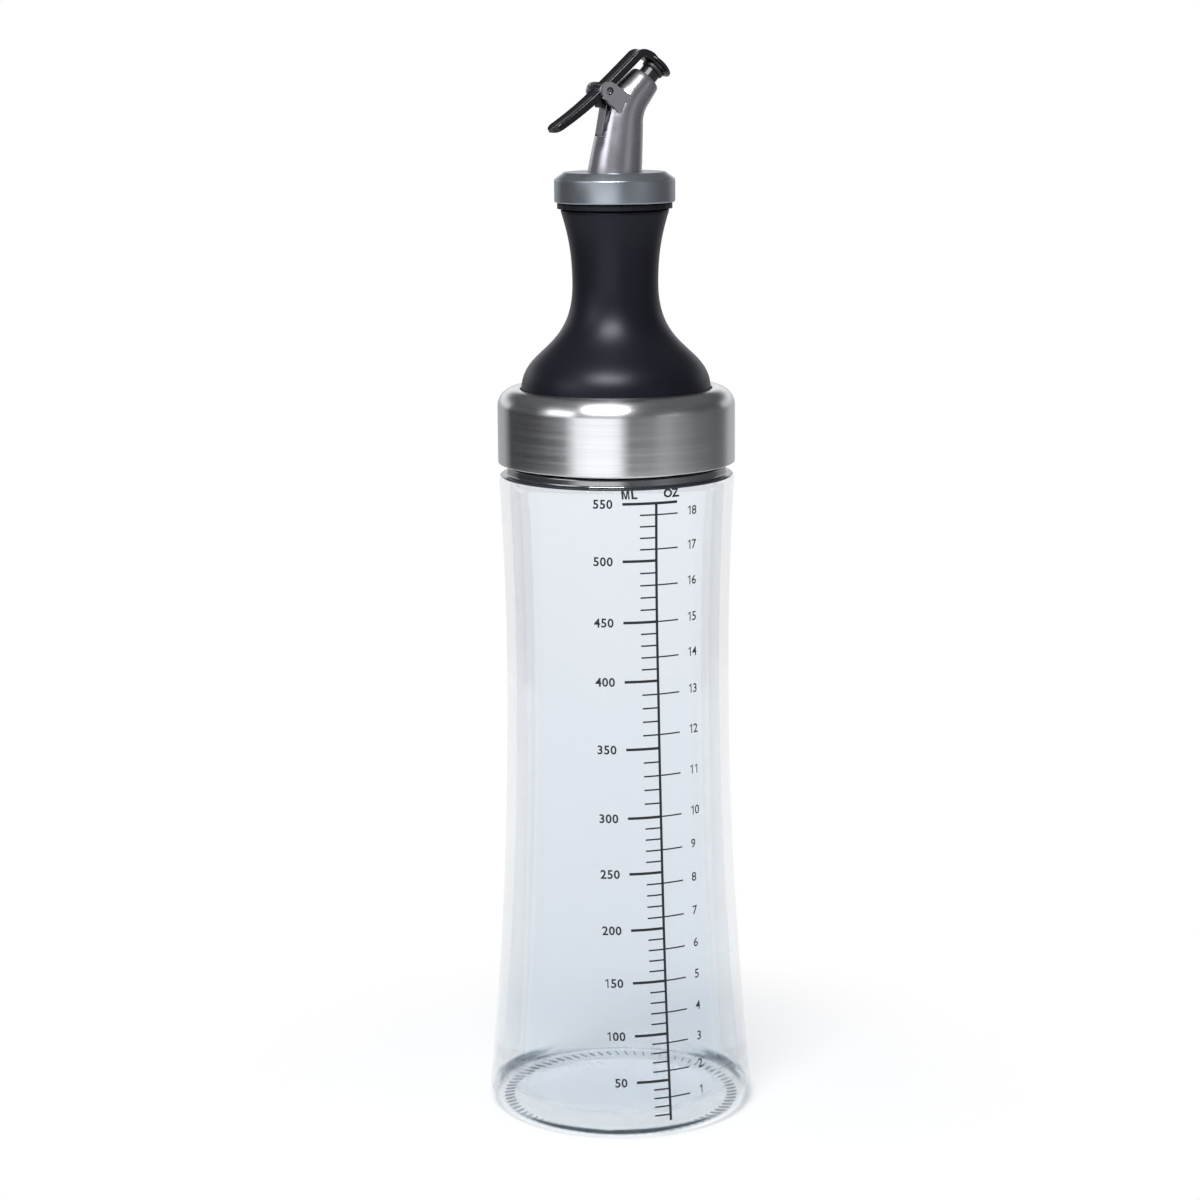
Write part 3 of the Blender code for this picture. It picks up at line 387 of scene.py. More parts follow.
def colour_ramp(value, stops):
    """A colour along a ramp of (position, colour) stops."""
    node = add_node(value.id_data, "ValToRGB", {"Fac": value})
    elements = node.color_ramp.elements
    while len(elements) < len(stops):
        elements.new(0.5)
    for element, (position, _) in zip(elements, stops):
        element.position = position
    for element, (_, colour) in zip(elements, stops):
        element.color = (*colour, 1.0)
    return node.outputs["Color"]


def mix_shaders(share, first, second):
    """Blend two nodes' shaders, by a share from 0 to 1."""
    return add_node(share.id_data, "MixShader", {0: share, 1: first.outputs[0], 2: second.outputs[0]})


def painted(material, inputs, height=None, strength=0.0, distance=0.0):
    """Set a material's shader, with its surface raised by a height value."""
    tree = material.node_tree
    shader = tree.nodes["Principled BSDF"]
    set_inputs(shader, inputs)
    if height is not None:
        raised = add_node(tree, "Bump", {"Height": height, "Strength": strength, "Distance": distance})
        set_inputs(shader, {"Normal": raised.outputs["Normal"]})
    return material


# Materials

GLASS_IOR = 1.2
GLASS_OPACITY = 0.2
GLASS_TINT_AND_SHADE_TOP = 0.21
# Height, and the red, green and blue light that one surface of the wall lets through: a bluish glass tint,
# darkened low on the wall as painted shade, darkest about 34 mm up
GLASS_CLEARNESS_AND_SHADE = (
    (0.0055, (0.962, 0.975, 0.985)),
    (0.016, (0.93, 0.951, 0.972)),
    (0.022, (0.918, 0.939, 0.959)),
    (0.034, (0.904, 0.925, 0.944)),
    (0.05, (0.912, 0.931, 0.95)),
    (0.09, (0.925, 0.941, 0.958)),
    (0.14, (0.938, 0.95, 0.966)),
    (0.18, (0.948, 0.96, 0.973)),
)
# Painted shade band on the foot's edge: heights and facings over which it fades in and out
BAND_FOOT = (0.0005, 0.0011)
BAND_TOP = (0.003, 0.004)
BAND_LEANING = (0.15, 0.24)
BAND_EDGE_ON = (0.46, 0.74)


def glass_colour(clearness):
    """Base colour of glass that lets these shares of light through."""
    return tuple((1 - (1 - share) / GLASS_OPACITY) ** 2 for share in clearness)


GLASS_TINTS_AND_SHADE = [(height / GLASS_TINT_AND_SHADE_TOP, glass_colour(clearness)) for height, clearness in GLASS_CLEARNESS_AND_SHADE]


def glass_material():
    """Clear bluish glass, with painted shade that darkens it low on the wall, and the faint waviness of a
    moulded bottle.
    """
    material, place = new_material("bottle_glass")
    # Colour by height: the glass tint plus painted shade, darkest a little above the foot
    rise = spread(height_in(place), 0.0, GLASS_TINT_AND_SHADE_TOP)
    return painted(material, {
        "Base Color": colour_ramp(rise, GLASS_TINTS_AND_SHADE),
        "Roughness": 0.0,
        "IOR": GLASS_IOR,
        "Transmission Weight": 1.0,
        "Alpha": GLASS_OPACITY,
    }, noise(place, 60.0, 1.0, (1.0, 1.0, 0.35)), 0.04, 0.0006)


def bead_material():
    """Edge of thick glass painted near-black with strong gloss: a painted dark reflection of what is round
    it.
    """
    material, place = new_material("shoulder_bead_painted_dark_glass")
    streaks = noise(place, 1.0, 3.0, (60.0, 60.0, 900.0))
    return painted(material, {
        # Near-black colour in place of clear glass: painted dark reflection
        "Base Color": blend_colours(streaks, (0.022, 0.026, 0.034), (0.04, 0.046, 0.056)),
        "Roughness": uneven(streaks, 0.049, 0.091),
        "IOR": 2.2,
        "Specular IOR Level": 1.0,
    }, streaks, 0.02, 0.00004)


def foot_edge_material():
    """Rounded lower edge of the foot, clear face on, with a painted shade band where it curves out of sight.
    """
    material, place = new_material("foot_edge_painted_shade_glass")
    height = height_in(place)
    below = spread(height, *BAND_TOP, 1.0, 0.0)
    above = spread(height, *BAND_FOOT)
    look = add_node(place.id_data, "LayerWeight", {})
    streaks = noise(place, 1.0, 3.0, (90.0, 90.0, 900.0))
    facing = arithmetic("ADD", look.outputs["Facing"], uneven(streaks, -0.05, 0.05))
    leaning = spread(facing, *BAND_LEANING)
    not_edge_on = spread(facing, *BAND_EDGE_ON, 1.0, 0.0)
    dark = arithmetic("MULTIPLY", leaning, not_edge_on)
    dark = arithmetic("MULTIPLY", dark, arithmetic("MULTIPLY", below, above))
    return painted(material, {
        # Blue-black colour, near opaque, where the band lies: painted shade
        "Base Color": blend_colours(dark, GLASS_TINTS_AND_SHADE[0][1], (0.03, 0.045, 0.055)),
        "Alpha": spread(dark, 0.0, 1.0, GLASS_OPACITY, 0.97),
        "Transmission Weight": spread(dark, 0.0, 1.0, 1.0, 0.2),
        "Roughness": 0.05,
        "IOR": GLASS_IOR,
    }, streaks, 0.06, 0.00004)


def ridge_material():
    """Frosted glass of the moulded ridges under the foot, coloured dark grey as painted shade."""
    material, place = new_material("foot_ridge_painted_shade_glass")
    frost = noise(place, 2600.0, 2.0)
    return painted(material, {
        # Dark grey in place of pale frost: painted shade
        "Base Color": blend_colours(frost, (0.08, 0.105, 0.125), (0.16, 0.19, 0.215)),
        "Roughness": 0.35,
        "Alpha": 0.5,
    }, frost, 0.15, 0.00003)


def ink_material():
    """Screen-printed ink with slightly uneven cover."""
    material, place = new_material("scale_ink")
    cover = noise(place, 3500.0, 2.0)
    return painted(material, {
        "Base Color": blend_colours(cover, (0.009, 0.01, 0.013), (0.026, 0.028, 0.033)),
        "Specular IOR Level": 0.2,
        "Roughness": 0.55,
    })


def steel_material():
    """Stainless sheet brushed round the collar, a little rougher where it rolls over."""
    material, place = new_material("collar_brushed_steel")
    fine = noise(place, 1.0, 2.0, (26.0, 26.0, 2600.0))
    broad = noise(place, 1.0, 2.0, (12.0, 12.0, 700.0))
    roll = spread(height_in(place), ROLL_CENTRE[1], COLLAR_TOP - COLLAR_ROLL / 2, 0.0, 0.09)
    tangent = add_node(place.id_data, "Tangent", {}, direction_type="RADIAL", axis="Z")
    return painted(material, {
        "Base Color": blend_colours(fine, (0.56, 0.565, 0.575), (0.66, 0.665, 0.675)),
        "Metallic": 1.0,
        "Roughness": arithmetic("ADD", uneven(broad, 0.15, 0.21), roll),
        "Anisotropic": 0.8,
        "Anisotropic Rotation": 0.25,
        "Tangent": tangent.outputs[0],
    }, fine, 0.1, 0.00001)


def satin_black():
    """Soft-touch moulding with a fine grain."""
    material, place = new_material("neck_soft_black")
    broad = noise(place, 90.0)
    grain = noise(place, 5200.0, 2.0)
    return painted(material, {
        "Base Color": blend_colours(broad, (0.004, 0.004, 0.007), (0.006, 0.006, 0.01)),
        "Roughness": uneven(grain, 0.35, 0.42),
        "Specular IOR Level": 0.24,
        "Specular Tint": (0.84, 0.88, 1.0),
    }, grain, 0.25, 0.00003)


def silver_material(name, low, high, roughness):
    """Satin silver coat with fine metal flakes."""
    material, place = new_material(name)
    flakes = noise(place, 2200.0, 1.0)
    return painted(material, {
        "Base Color": blend_colours(flakes, low, high),
        "Metallic": 0.92,
        "Roughness": uneven(noise(place, 140.0), roughness - 0.03, roughness + 0.04),
    }, flakes, 0.04, 0.00001)


def plastic_material(name, low, high, roughness, grain=2500.0, strength=0.08, specular=0.5):
    """Moulded plastic or rubber with a little unevenness."""
    material, place = new_material(name)
    fine = noise(place, grain, 2.0)
    return painted(material, {
        "Base Color": blend_colours(noise(place, 150.0), low, high),
        "Roughness": uneven(fine, roughness * 0.9, roughness * 1.12),
        "Specular IOR Level": specular,
    }, fine, strength, 0.00002)


glass = glass_material()
ring_silver = silver_material("ring_satin_silver", (0.3, 0.325, 0.36), (0.33, 0.355, 0.39), 0.3)
spout_silver = silver_material("spout_satin_silver", (0.38, 0.37, 0.405), (0.41, 0.4, 0.44), 0.25)
pin_steel = silver_material("pin_bright_steel", (0.16, 0.16, 0.17), (0.26, 0.26, 0.27), 0.2)
leaf_steel = silver_material("leaf_spring_steel", (0.2, 0.2, 0.22), (0.3, 0.3, 0.32), 0.3)
lever_black = plastic_material(
    "lever_gloss_black", (0.003, 0.003, 0.005), (0.006, 0.006, 0.008), 0.2, 700.0, 0.01, 0.35)

# CAD nodes that are shown as they are, with the plastic of each
CAD_LOOKS = {
    "stopper": ("stopper_rubber_black", (0.004, 0.005, 0.008), (0.007, 0.008, 0.012), 0.5, 4000.0, 0.2, 0.2),
    "pour_tube": ("nozzle_black", (0.006, 0.006, 0.009), (0.011, 0.011, 0.015), 0.33),
    "vent_tube": ("vent_tube_white", (0.62, 0.62, 0.6), (0.7, 0.7, 0.68), 0.35),
    "tip_seal": ("seal_rubber_black", (0.012, 0.012, 0.014), (0.02, 0.02, 0.022), 0.55),
    "strainer": ("strainer_moulded_black", (0.016, 0.016, 0.018), (0.026, 0.026, 0.03), 0.36),
    "lid_gasket": ("gasket_silicone_white", (0.66, 0.66, 0.63), (0.76, 0.76, 0.73), 0.5),
    "thread_liner": ("liner_moulded_black", (0.014, 0.014, 0.016), (0.022, 0.022, 0.025), 0.42),
}
for node_name, look in CAD_LOOKS.items():
    dress(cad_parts[node_name], plastic_material(*look))


# Glass bottle

CURVE_PULL = 0.55
THREAD_STEPS = 64
# Section of a thread ridge: share of its crest and share of its height
THREAD_SECTION = (
    (0.0, -0.5), (0.55, -0.36), (0.95, -0.16), (1.0, 0.0), (0.95, 0.16), (0.55, 0.36), (0.0, 0.5),
)
RIDGE_COUNT = 78
RIDGE_TWIST = 0.034
# Section of a ridge under the foot: across and up, in millimetres
RIDGE_SECTION = ((-0.26, 0.25), (-0.18, -0.14), (0.0, -0.3), (0.18, -0.14), (0.26, 0.25))


def glass_radius(height):
    """Outer radius of the waisted wall, its rounded shoulder and its foot corner."""
    if height < FOOT_HEIGHT:
        rise = 1 - height / FOOT_HEIGHT
        return FOOT_RADIUS - (FOOT_RADIUS - BEARING_OUTER) * (1 - sqrt(1 - rise * rise))
    if height < WAIST_HEIGHT:
        share = (WAIST_HEIGHT - height) / (WAIST_HEIGHT - FOOT_HEIGHT)
        return WAIST_RADIUS + (FOOT_RADIUS - WAIST_RADIUS) * share ** LOWER_SWELL
    share = (min(height, WALL_TOP) - WAIST_HEIGHT) / (WALL_TOP - WAIST_HEIGHT)
    radius = WAIST_RADIUS + (SHOULDER_RADIUS - WAIST_RADIUS) * share ** UPPER_SWELL
    over = min(1.0, max(0.0, (height - WALL_TOP) / SHOULDER_ROUND))
    return radius - SHOULDER_ROUND * (1 - sqrt(1 - over * over))


def wall_line(start, end, inset, steps):
    """Points along the wall between two heights, set in from its outer face."""
    heights = [start + (end - start) * step / steps for step in range(steps + 1)]
    return [(glass_radius(height) - inset, height) for height in heights]


def build_glass():
    """Bottle body with a bearing ring, a shallow punt, a shoulder bead and a plain finish."""
    punt = bezier(
        (0.0, PUNT_DEPTH), (BEARING_INNER * CURVE_PULL, PUNT_DEPTH),
        (BEARING_INNER * (1 + CURVE_PULL) / 2, PUNT_DEPTH / 2), (BEARING_INNER, RIDGE_LIFT), 10)
    foot = bezier(
        (BEARING_OUTER, RIDGE_LIFT), (BEARING_OUTER + CURVE_PULL * (FOOT_RADIUS - BEARING_OUTER), RIDGE_LIFT),
        (FOOT_RADIUS, FOOT_HEIGHT * (1 - CURVE_PULL)), (FOOT_RADIUS, FOOT_HEIGHT), 24)
    shoulder = arc((SHOULDER_RADIUS - SHOULDER_ROUND, WALL_TOP), SHOULDER_ROUND, 0, 90, 6)[1:]
    bead = arc((BEAD_RADIUS + BEAD_ROUND, SHOULDER_HEIGHT + BEAD_ROUND), BEAD_ROUND, 270, 180, 6)
    bead += arc((BEAD_RADIUS - BEAD_ROUND, BEAD_TOP - BEAD_ROUND), BEAD_ROUND, 0, 90, 6)
    rim = [(FINISH_RADIUS, BEAD_TOP)]
    rim += arc((FINISH_RADIUS - RIM_ROUND, RIM_HEIGHT - RIM_ROUND), RIM_ROUND, 0, 90, 5)
    rim += arc((MOUTH_RADIUS + RIM_ROUND, RIM_HEIGHT - RIM_ROUND), RIM_ROUND, 90, 180, 5)
    throat_foot = BEAD_TOP - THROAT_HEIGHT
    throat_radius = glass_radius(throat_foot) - WALL
    throat = bezier(
        (MOUTH_RADIUS, BEAD_TOP), (MOUTH_RADIUS, BEAD_TOP - THROAT_HEIGHT * CURVE_PULL),
        (throat_radius, throat_foot + THROAT_HEIGHT * CURVE_PULL), (throat_radius, throat_foot), 10)
    corner_top = FLOOR_HEIGHT + FLOOR_CORNER
    floor_radius = glass_radius(corner_top) - WALL - FLOOR_CORNER
    floor = arc((floor_radius, corner_top), FLOOR_CORNER, 0, -90, 8)[1:]
    floor += [(floor_radius / 2, FLOOR_HEIGHT + 0.00015), (0.0, FLOOR_HEIGHT + 0.0002)]
    outline = punt + [(BEARING_INNER, RIDGE_LIFT)] + foot + wall_line(FOOT_HEIGHT, WALL_TOP, 0.0, 48)
    outline += shoulder + bead + rim + throat + wall_line(throat_foot, corner_top, WALL, 40) + floor
    body = smooth_object("bottle_body", turned(outline, 128), 40.0)
    piece(body, "bottle", glass, "glass_bottle")
    # Second and third materials: the bead painted dark, and the foot's edge with a painted shade band
    body.data.materials.append(bead_material())
    body.data.materials.append(foot_edge_material())
    for polygon in body.data.polygons:
        middle = polygon.center
        reach = hypot(middle.x, middle.y)
        # Bead faces: glass painted dark as a painted reflection
        if reach > FINISH_RADIUS and SHOULDER_HEIGHT - GAP < middle.z < BEAD_TOP + GAP:
            polygon.material_index = 1
        # Lower edge of the foot: glass with the painted shade band
        if reach > BEARING_OUTER and middle.z < FOOT_HEIGHT:
            polygon.material_index = 2


def helix(radius, height, low, turns, side):
    """A screw thread ridge with run-outs at both ends, outside (1) or inside (-1) its wall."""
    count = int(THREAD_STEPS * turns)
    rings = []
    for step in range(count + 1):
        angle = tau * step / THREAD_STEPS
        middle = low + THREAD_PITCH * step / THREAD_STEPS
        fade = max(0.04, sin(min(1.0, step / 6.0, (count - step) / 6.0) * pi / 2))
        ring = []
        for share, rise in THREAD_SECTION:
            reach = radius + side * (THREAD_CREST * share * fade - GAP / 3)
            ring.append((reach * cos(angle), reach * sin(angle), middle + rise * height))
        rings.append(ring)
    return lofted(rings)


def build_ridges():
    """Ring of short moulded ridges that the foot stands on."""
    bm = bmesh.new()
    for index in range(RIDGE_COUNT):
        rings = []
        for step in range(5):
            share = step / 4
            radius = BEARING_INNER + 0.0004 + (BEARING_OUTER - BEARING_INNER - 0.0006) * share
            lean = tau * index / RIDGE_COUNT + (share - 0.5) * RIDGE_TWIST
            swell = 0.45 + 0.55 * sin(pi * share)
            ring = []
            for across, drop in RIDGE_SECTION:
                turn = lean + across * 0.001 * swell / radius
                height = RIDGE_LIFT + drop * 0.001 * (swell if drop < 0 else 1.0)
                ring.append((radius * cos(turn), radius * sin(turn), height))
            rings.append(ring)
        skin(bm, rings)
    piece(smooth_object("foot_ridges", bm, 60.0), "bottle", ridge_material())


build_glass()
finish_thread = smooth_object("finish_thread", helix(FINISH_RADIUS, 0.0019, 0.1935, 1.6, 1))
piece(finish_thread, "bottle", glass)
build_ridges()


# Printed scale

SCALE_ANGLE = radians(-96.6)
SCALE_FOOT = 0.0051
INK_LIFT = 0.00006
UPRIGHT_THICKNESS = 0.00076
# Level marks: reach from the upright line, thickness and steps
LONG_MARK = (-0.0096, 0.00077, 14)
SHORT_MARK = (-0.0047, 0.00045, 8)
TOP_MARK = (0.0064, 0.00077, 10)
OUNCE_MARK = (0.0066, 0.00041, 10)
# Texts: size, share left of the place, cell width by size, and boldness
MILLILITRE_TEXT = (0.0026, 1.0, 0.73, 0.023)
OUNCE_TEXT = (0.0026, 0.0, 0.66, 0.01)
UNIT_TEXT = (0.0025, 0.5, 0.96, 0.04)
UNIT_HEIGHT = 0.1858
OUNCE_VOLUME = 30
# Sideways drift of the print by height
PRINT_DRIFT = (
    (0.0, 0.0009), (0.013, 0.0009), (0.09, 0.0005), (0.127, 0.0001), (0.16, -0.0005), (0.187, -0.0009),
)
# Height of the print's marks by millilitres
MARK_HEIGHTS = (
    (0, 0.0044), (50, 0.0169), (100, 0.0304), (150, 0.0458), (200, 0.0611), (250, 0.0774),
    (300, 0.0935), (350, 0.1133), (400, 0.1327), (450, 0.1496), (500, 0.167), (550, 0.1832),
)
# Characters that the font draws unlike the print: points one unit tall, then faces
DRAWN_GLYPHS = {
    "1": (
        ((0.03, -0.5), (0.16, -0.5), (0.16, 0.5), (0.06, 0.5), (0.03, 0.34), (-0.2, 0.2), (-0.2, 0.33)),
        ((0, 1, 2, 3, 4), (4, 3, 6, 5)),
    ),
    "M": (
        (
            (-0.44, -0.5), (-0.25, -0.5), (-0.25, 0.18), (-0.09, -0.5), (0.09, -0.5), (0.25, 0.18),
            (0.25, -0.5), (0.44, -0.5), (0.44, 0.5), (0.18, 0.5), (0.0, -0.18), (-0.18, 0.5), (-0.44, 0.5),
        ),
        ((0, 1, 2, 12), (2, 11, 12), (2, 3, 10, 11), (3, 4, 10), (4, 5, 9, 10), (5, 8, 9), (5, 6, 7, 8)),
    ),
}
glyphs = {}


def between(stops, place):
    """Value at a place along (place, value) stops."""
    for (low, before), (high, after) in zip(stops, stops[1:]):
        if place <= high:
            return before + (after - before) * (place - low) / (high - low)
    return stops[-1][1]


def on_glass(across, height):
    """A point on the printed surface, by arc length from the scale's line and height."""
    radius = glass_radius(height) + INK_LIFT
    angle = SCALE_ANGLE + (across + between(PRINT_DRIFT, height)) / radius
    return radius * cos(angle), radius * sin(angle), height


def printed_line(bm, start, end, thickness, steps):
    """A level or upright line of ink between two places, each across and up the glass."""
    aside, above = (-thickness / 2, 0.0) if start[0] == end[0] else (0.0, thickness / 2)
    rows = []
    for step in range(steps + 1):
        across, height = (low + (high - low) * step / steps for low, high in zip(start, end))
        row = [on_glass(across + side * aside, height + side * above) for side in (-1, 1)]
        rows.append([bm.verts.new(place) for place in row])
    for row, following in zip(rows, rows[1:]):
        bm.faces.new((row[0], following[0], following[1], row[1]))


def mark(bm, height, reach, thickness, steps):
    """A level mark to the left or right of the upright line."""
    start, end = sorted(((0.0, height), (reach, height)))
    printed_line(bm, start, end, thickness, steps)


def glyph(character, bold):
    """Points and faces of a character of the font, one unit tall and centred."""
    curve = bpy.data.curves.new("print", "FONT")
    curve.body = character
    curve.offset = bold
    curve.resolution_u = 3
    thing = add_object("print", curve)
    mesh = evaluated_mesh(thing)
    across = [vert.co.x for vert in mesh.vertices]
    up = [vert.co.y for vert in mesh.vertices]
    tall = max(up) - min(up)
    middle_x = (min(across) + max(across)) / 2
    middle_y = (min(up) + max(up)) / 2
    points = [((x - middle_x) / tall, (y - middle_y) / tall) for x, y in zip(across, up)]
    faces = [list(polygon.vertices) for polygon in mesh.polygons]
    bpy.data.objects.remove(thing, do_unlink=True)
    bpy.data.curves.remove(curve)
    bpy.data.meshes.remove(mesh)
    return points, faces


def words(bm, text, across, height, size, left_share, cell, bold):
    """Print a short text on the glass in even cells, with a share of it left of the given place."""
    left = across - cell * size * len(text) * left_share
    for index, character in enumerate(text):
        if (character, bold) not in glyphs:
            glyphs[character, bold] = DRAWN_GLYPHS.get(character) or glyph(character, bold)
        points, faces = glyphs[character, bold]
        middle = left + cell * size * (index + 0.5)
        verts = [bm.verts.new(on_glass(middle + x * size, height + y * size)) for x, y in points]
        for face in faces:
            bm.faces.new([verts[corner] for corner in face])


def build_scale():
    """Millilitre marks on the left of the line and ounce marks on its right."""
    bm = bmesh.new()
    top = MARK_HEIGHTS[-1][1]
    printed_line(bm, (0.0, SCALE_FOOT), (0.0, top), UPRIGHT_THICKNESS, 90)
    for volume in range(10, 551, 10):
        height = between(MARK_HEIGHTS, volume)
        if volume % 50 == 0:
            mark(bm, height, *LONG_MARK)
            words(bm, str(volume), -0.0122, height, *MILLILITRE_TEXT)
        else:
            mark(bm, height, *SHORT_MARK)
    mark(bm, top, *TOP_MARK)
    for ounce in range(1, 19):
        height = between(MARK_HEIGHTS, OUNCE_VOLUME * ounce)
        mark(bm, height, *OUNCE_MARK)
        words(bm, str(ounce), 0.0097, height + 0.0004, *OUNCE_TEXT)
    for unit, middle in (("ML", -0.0074), ("OZ", 0.0047)):
        words(bm, unit, middle, UNIT_HEIGHT, *UNIT_TEXT)
    piece(smooth_object("printed_scale", bm, 60.0), "bottle", ink_material())


build_scale()


# Lid

def build_neck():
    """Flask-shaped neck with its clamped flange and a softly rounded top edge."""
    arc_radius = COLLAR_ROLL - COLLAR_SHEET - GAP
    start = degrees(asin((NECK_BASE - ROLL_CENTRE[1]) / arc_radius))
    top = NECK_TOP - NECK_EDGE
    dome = bezier(
        (NECK_FOOT_RADIUS, NECK_FLANGE_TOP), (NECK_FOOT_RADIUS, NECK_FLANGE_TOP + 0.0126),
        (NECK_WAIST_RADIUS, NECK_WAIST_HEIGHT - 0.0195), (NECK_WAIST_RADIUS, NECK_WAIST_HEIGHT), 44)
    flare = bezier(
        (NECK_WAIST_RADIUS, NECK_WAIST_HEIGHT), (NECK_WAIST_RADIUS, NECK_WAIST_HEIGHT + 0.009),
        (NECK_TOP_RADIUS - 0.0019, NECK_TOP - 0.0065), (NECK_TOP_RADIUS, top), 22)
    hollow = []
    for before, here, after in zip(dome, dome[1:], dome[2:]):
        along = Vector((after[0] - before[0], after[1] - before[1])).normalized()
        inner = (here[0] - along.y * NECK_WALL, here[1] + along.x * NECK_WALL)
        if inner[0] > NECK_BORE:
            hollow.append(inner)
    outline = [(NECK_FOOT_RADIUS - NECK_WALL, NECK_BASE)] + arc(ROLL_CENTRE, arc_radius, start, 90, 6)
    outline += dome + flare + arc((NECK_TOP_RADIUS - NECK_EDGE, top), NECK_EDGE, 0, 90, 5)
    outline += [(NECK_BORE + NECK_EDGE, NECK_TOP), (NECK_BORE, top), (NECK_BORE, hollow[-1][1] + 0.001)]
    neck = smooth_object("neck_moulding", turned(outline + hollow[::-1], 96), 40.0)
    piece(neck, "lid", satin_black(), "neck")


def build_collar():
    """Steel sleeve, rolled in over the neck's foot, with a closely hemmed lower edge."""
    lip = NECK_FOOT_RADIUS + GAP
    hem = COLLAR_SHEET / 2
    low = (COLLAR_RADIUS - hem, COLLAR_BASE + hem)
    edge = (lip + COLLAR_SHEET, COLLAR_TOP - COLLAR_SHEET)
    outline = arc(low, hem, -90, 0, 8) + arc(ROLL_CENTRE, COLLAR_ROLL, 0, 90, 24)
    outline += arc(edge, COLLAR_SHEET, 90, 180, 6)
    outline += arc(ROLL_CENTRE, COLLAR_ROLL - COLLAR_SHEET, 90, 0, 12) + arc(low, hem, 180, 270, 4)[:-1]
    collar = smooth_object("collar_sleeve", turned(outline, 256), 60.0)
    piece(collar, "lid", steel_material(), "steel_collar")


build_neck()
build_collar()
thread_root = COLLAR_RADIUS - COLLAR_SHEET - GAP - 0.00225
liner_thread = smooth_object("liner_thread", helix(thread_root, 0.0017, 0.1955, 1.5, -1))
piece(liner_thread, "lid", bpy.data.materials["liner_moulded_black"])


# Pourer

# Lever in front of its pin: length, turn in degrees, steps and last thickness of each round stretch
FRONT_ARCS = (
    (0.0142, 1.5, 10, 1.0), (0.0022, -54.0, 14, 1.0), (0.00255, -24.0, 8, 1.0), (0.0038, -12.0, 8, 0.4),
)
LEVER_STEPS = 34


def build_ring():
    """Silver ring with rounded edges and a bright chamfer."""
    hole = SPOUT_RADIUS + GAP
    inner = RING_RADIUS - 0.0021
    ceiling = RING_TOP - 0.0017
    foot_round = 0.0005
    top_round = 0.0006
    outline = [(inner, RING_BASE)]
    outline += arc((RING_RADIUS - foot_round, RING_BASE + foot_round), foot_round, -90, 0, 5)
    outline += arc((RING_RADIUS - top_round, RING_TOP - 0.00225), top_round, 0, 38, 4)
    outline += arc((RING_RADIUS - 0.0029, RING_TOP - top_round), top_round, 38, 90, 5)
    outline += [(hole + 0.0002, RING_TOP), (hole, RING_TOP - 0.0002), (hole, ceiling), (inner, ceiling)]
    ring = smooth_object("ring_shell", turned(outline, 96), 45.0)
    piece(ring, "pourer", ring_silver, "cap_ring")


def spout_line(steps):
    """Places and tilts along the spout's centre line."""
    tangent = SPOUT_BEND * tan((SPOUT_TILT - SPOUT_LEAN) / 2)
    bend_start = BEND_POINT - LOWER_AXIS * tangent
    bend_centre = bend_start + Vector((LOWER_AXIS.z, 0.0, -LOWER_AXIS.x)) * SPOUT_BEND
    line = []
    for step in range(steps):
        share = step / steps
        line.append((SPOUT_FOOT.lerp(bend_start, share), SPOUT_LEAN * min(1.0, 2.5 * share)))
    for step in range(2 * steps + 1):
        tilt = SPOUT_LEAN + (SPOUT_TILT - SPOUT_LEAN) * step / (2 * steps)
        out = Vector((-cos(tilt), 0.0, sin(tilt)))
        line.append((bend_centre + out * SPOUT_BEND, tilt))
    last = line[-1][0]
    for step in range(1, steps + 1):
        line.append((last.lerp(SPOUT_END, step / steps), SPOUT_TILT))
    return line


def spout_radius(share):
    """Radius of the spout's skin at a share of its length."""
    return SPOUT_RADIUS + (SPOUT_TIP_RADIUS - SPOUT_RADIUS) * share ** 1.2


def tube_bore():
    """The inner tube's way along the spout's centre line and straight down under it."""
    radius = TUBE_RADIUS + GAP
    rings = [ring_across(Vector((0.0, 0.0, TUBE_FOOT)), 0.0, radius)]
    rings += [ring_across(place, tilt, radius) for place, tilt in spout_line(6)]
    rings[-1] = ring_across(SPOUT_END + UPPER_AXIS * (2 * TUBE_PROUD), SPOUT_TILT, radius)
    return lofted(rings)


def ear_heading(root, side):
    """Angle in degrees at which a line from a root touches the ear's round."""
    apart = root - PIN_CENTRE
    return degrees(atan2(apart.z, apart.x) + side * acos(EAR_RADIUS / apart.length))


def flat(corners):
    """The x and z of points in the XZ plane."""
    return [(corner.x, corner.z) for corner in corners]


def spout_shell():
    """Bent tapering skin of the spout, with its flange and its rounded end."""
    line = spout_line(8)
    lengths = [0.0]
    for before, after in zip(line, line[1:]):
        lengths.append(lengths[-1] + (after[0] - before[0]).length)
    sides = 64
    rings = [ring_across(Vector((0.0, 0.0, SPOUT_BASE)), 0.0, SPOUT_FLANGE_RADIUS, sides)]
    for radius in (SPOUT_FLANGE_RADIUS, SPOUT_RADIUS):
        rings.append(ring_across(Vector((0.0, 0.0, SPOUT_FLANGE_TOP)), 0.0, radius, sides))
    for (place, tilt), length in zip(line[:-1], lengths):
        rings.append(ring_across(place, tilt, spout_radius(length / lengths[-1]), sides))
    for step in range(5):
        angle = pi / 2 * step / 4
        place = SPOUT_END - UPPER_AXIS * SPOUT_TIP_ROUND * (1 - sin(angle))
        radius = SPOUT_TIP_RADIUS - SPOUT_TIP_ROUND * (1 - cos(angle))
        rings.append(ring_across(place, SPOUT_TILT, radius, sides))
    return smooth_object("spout_shell", lofted(rings))


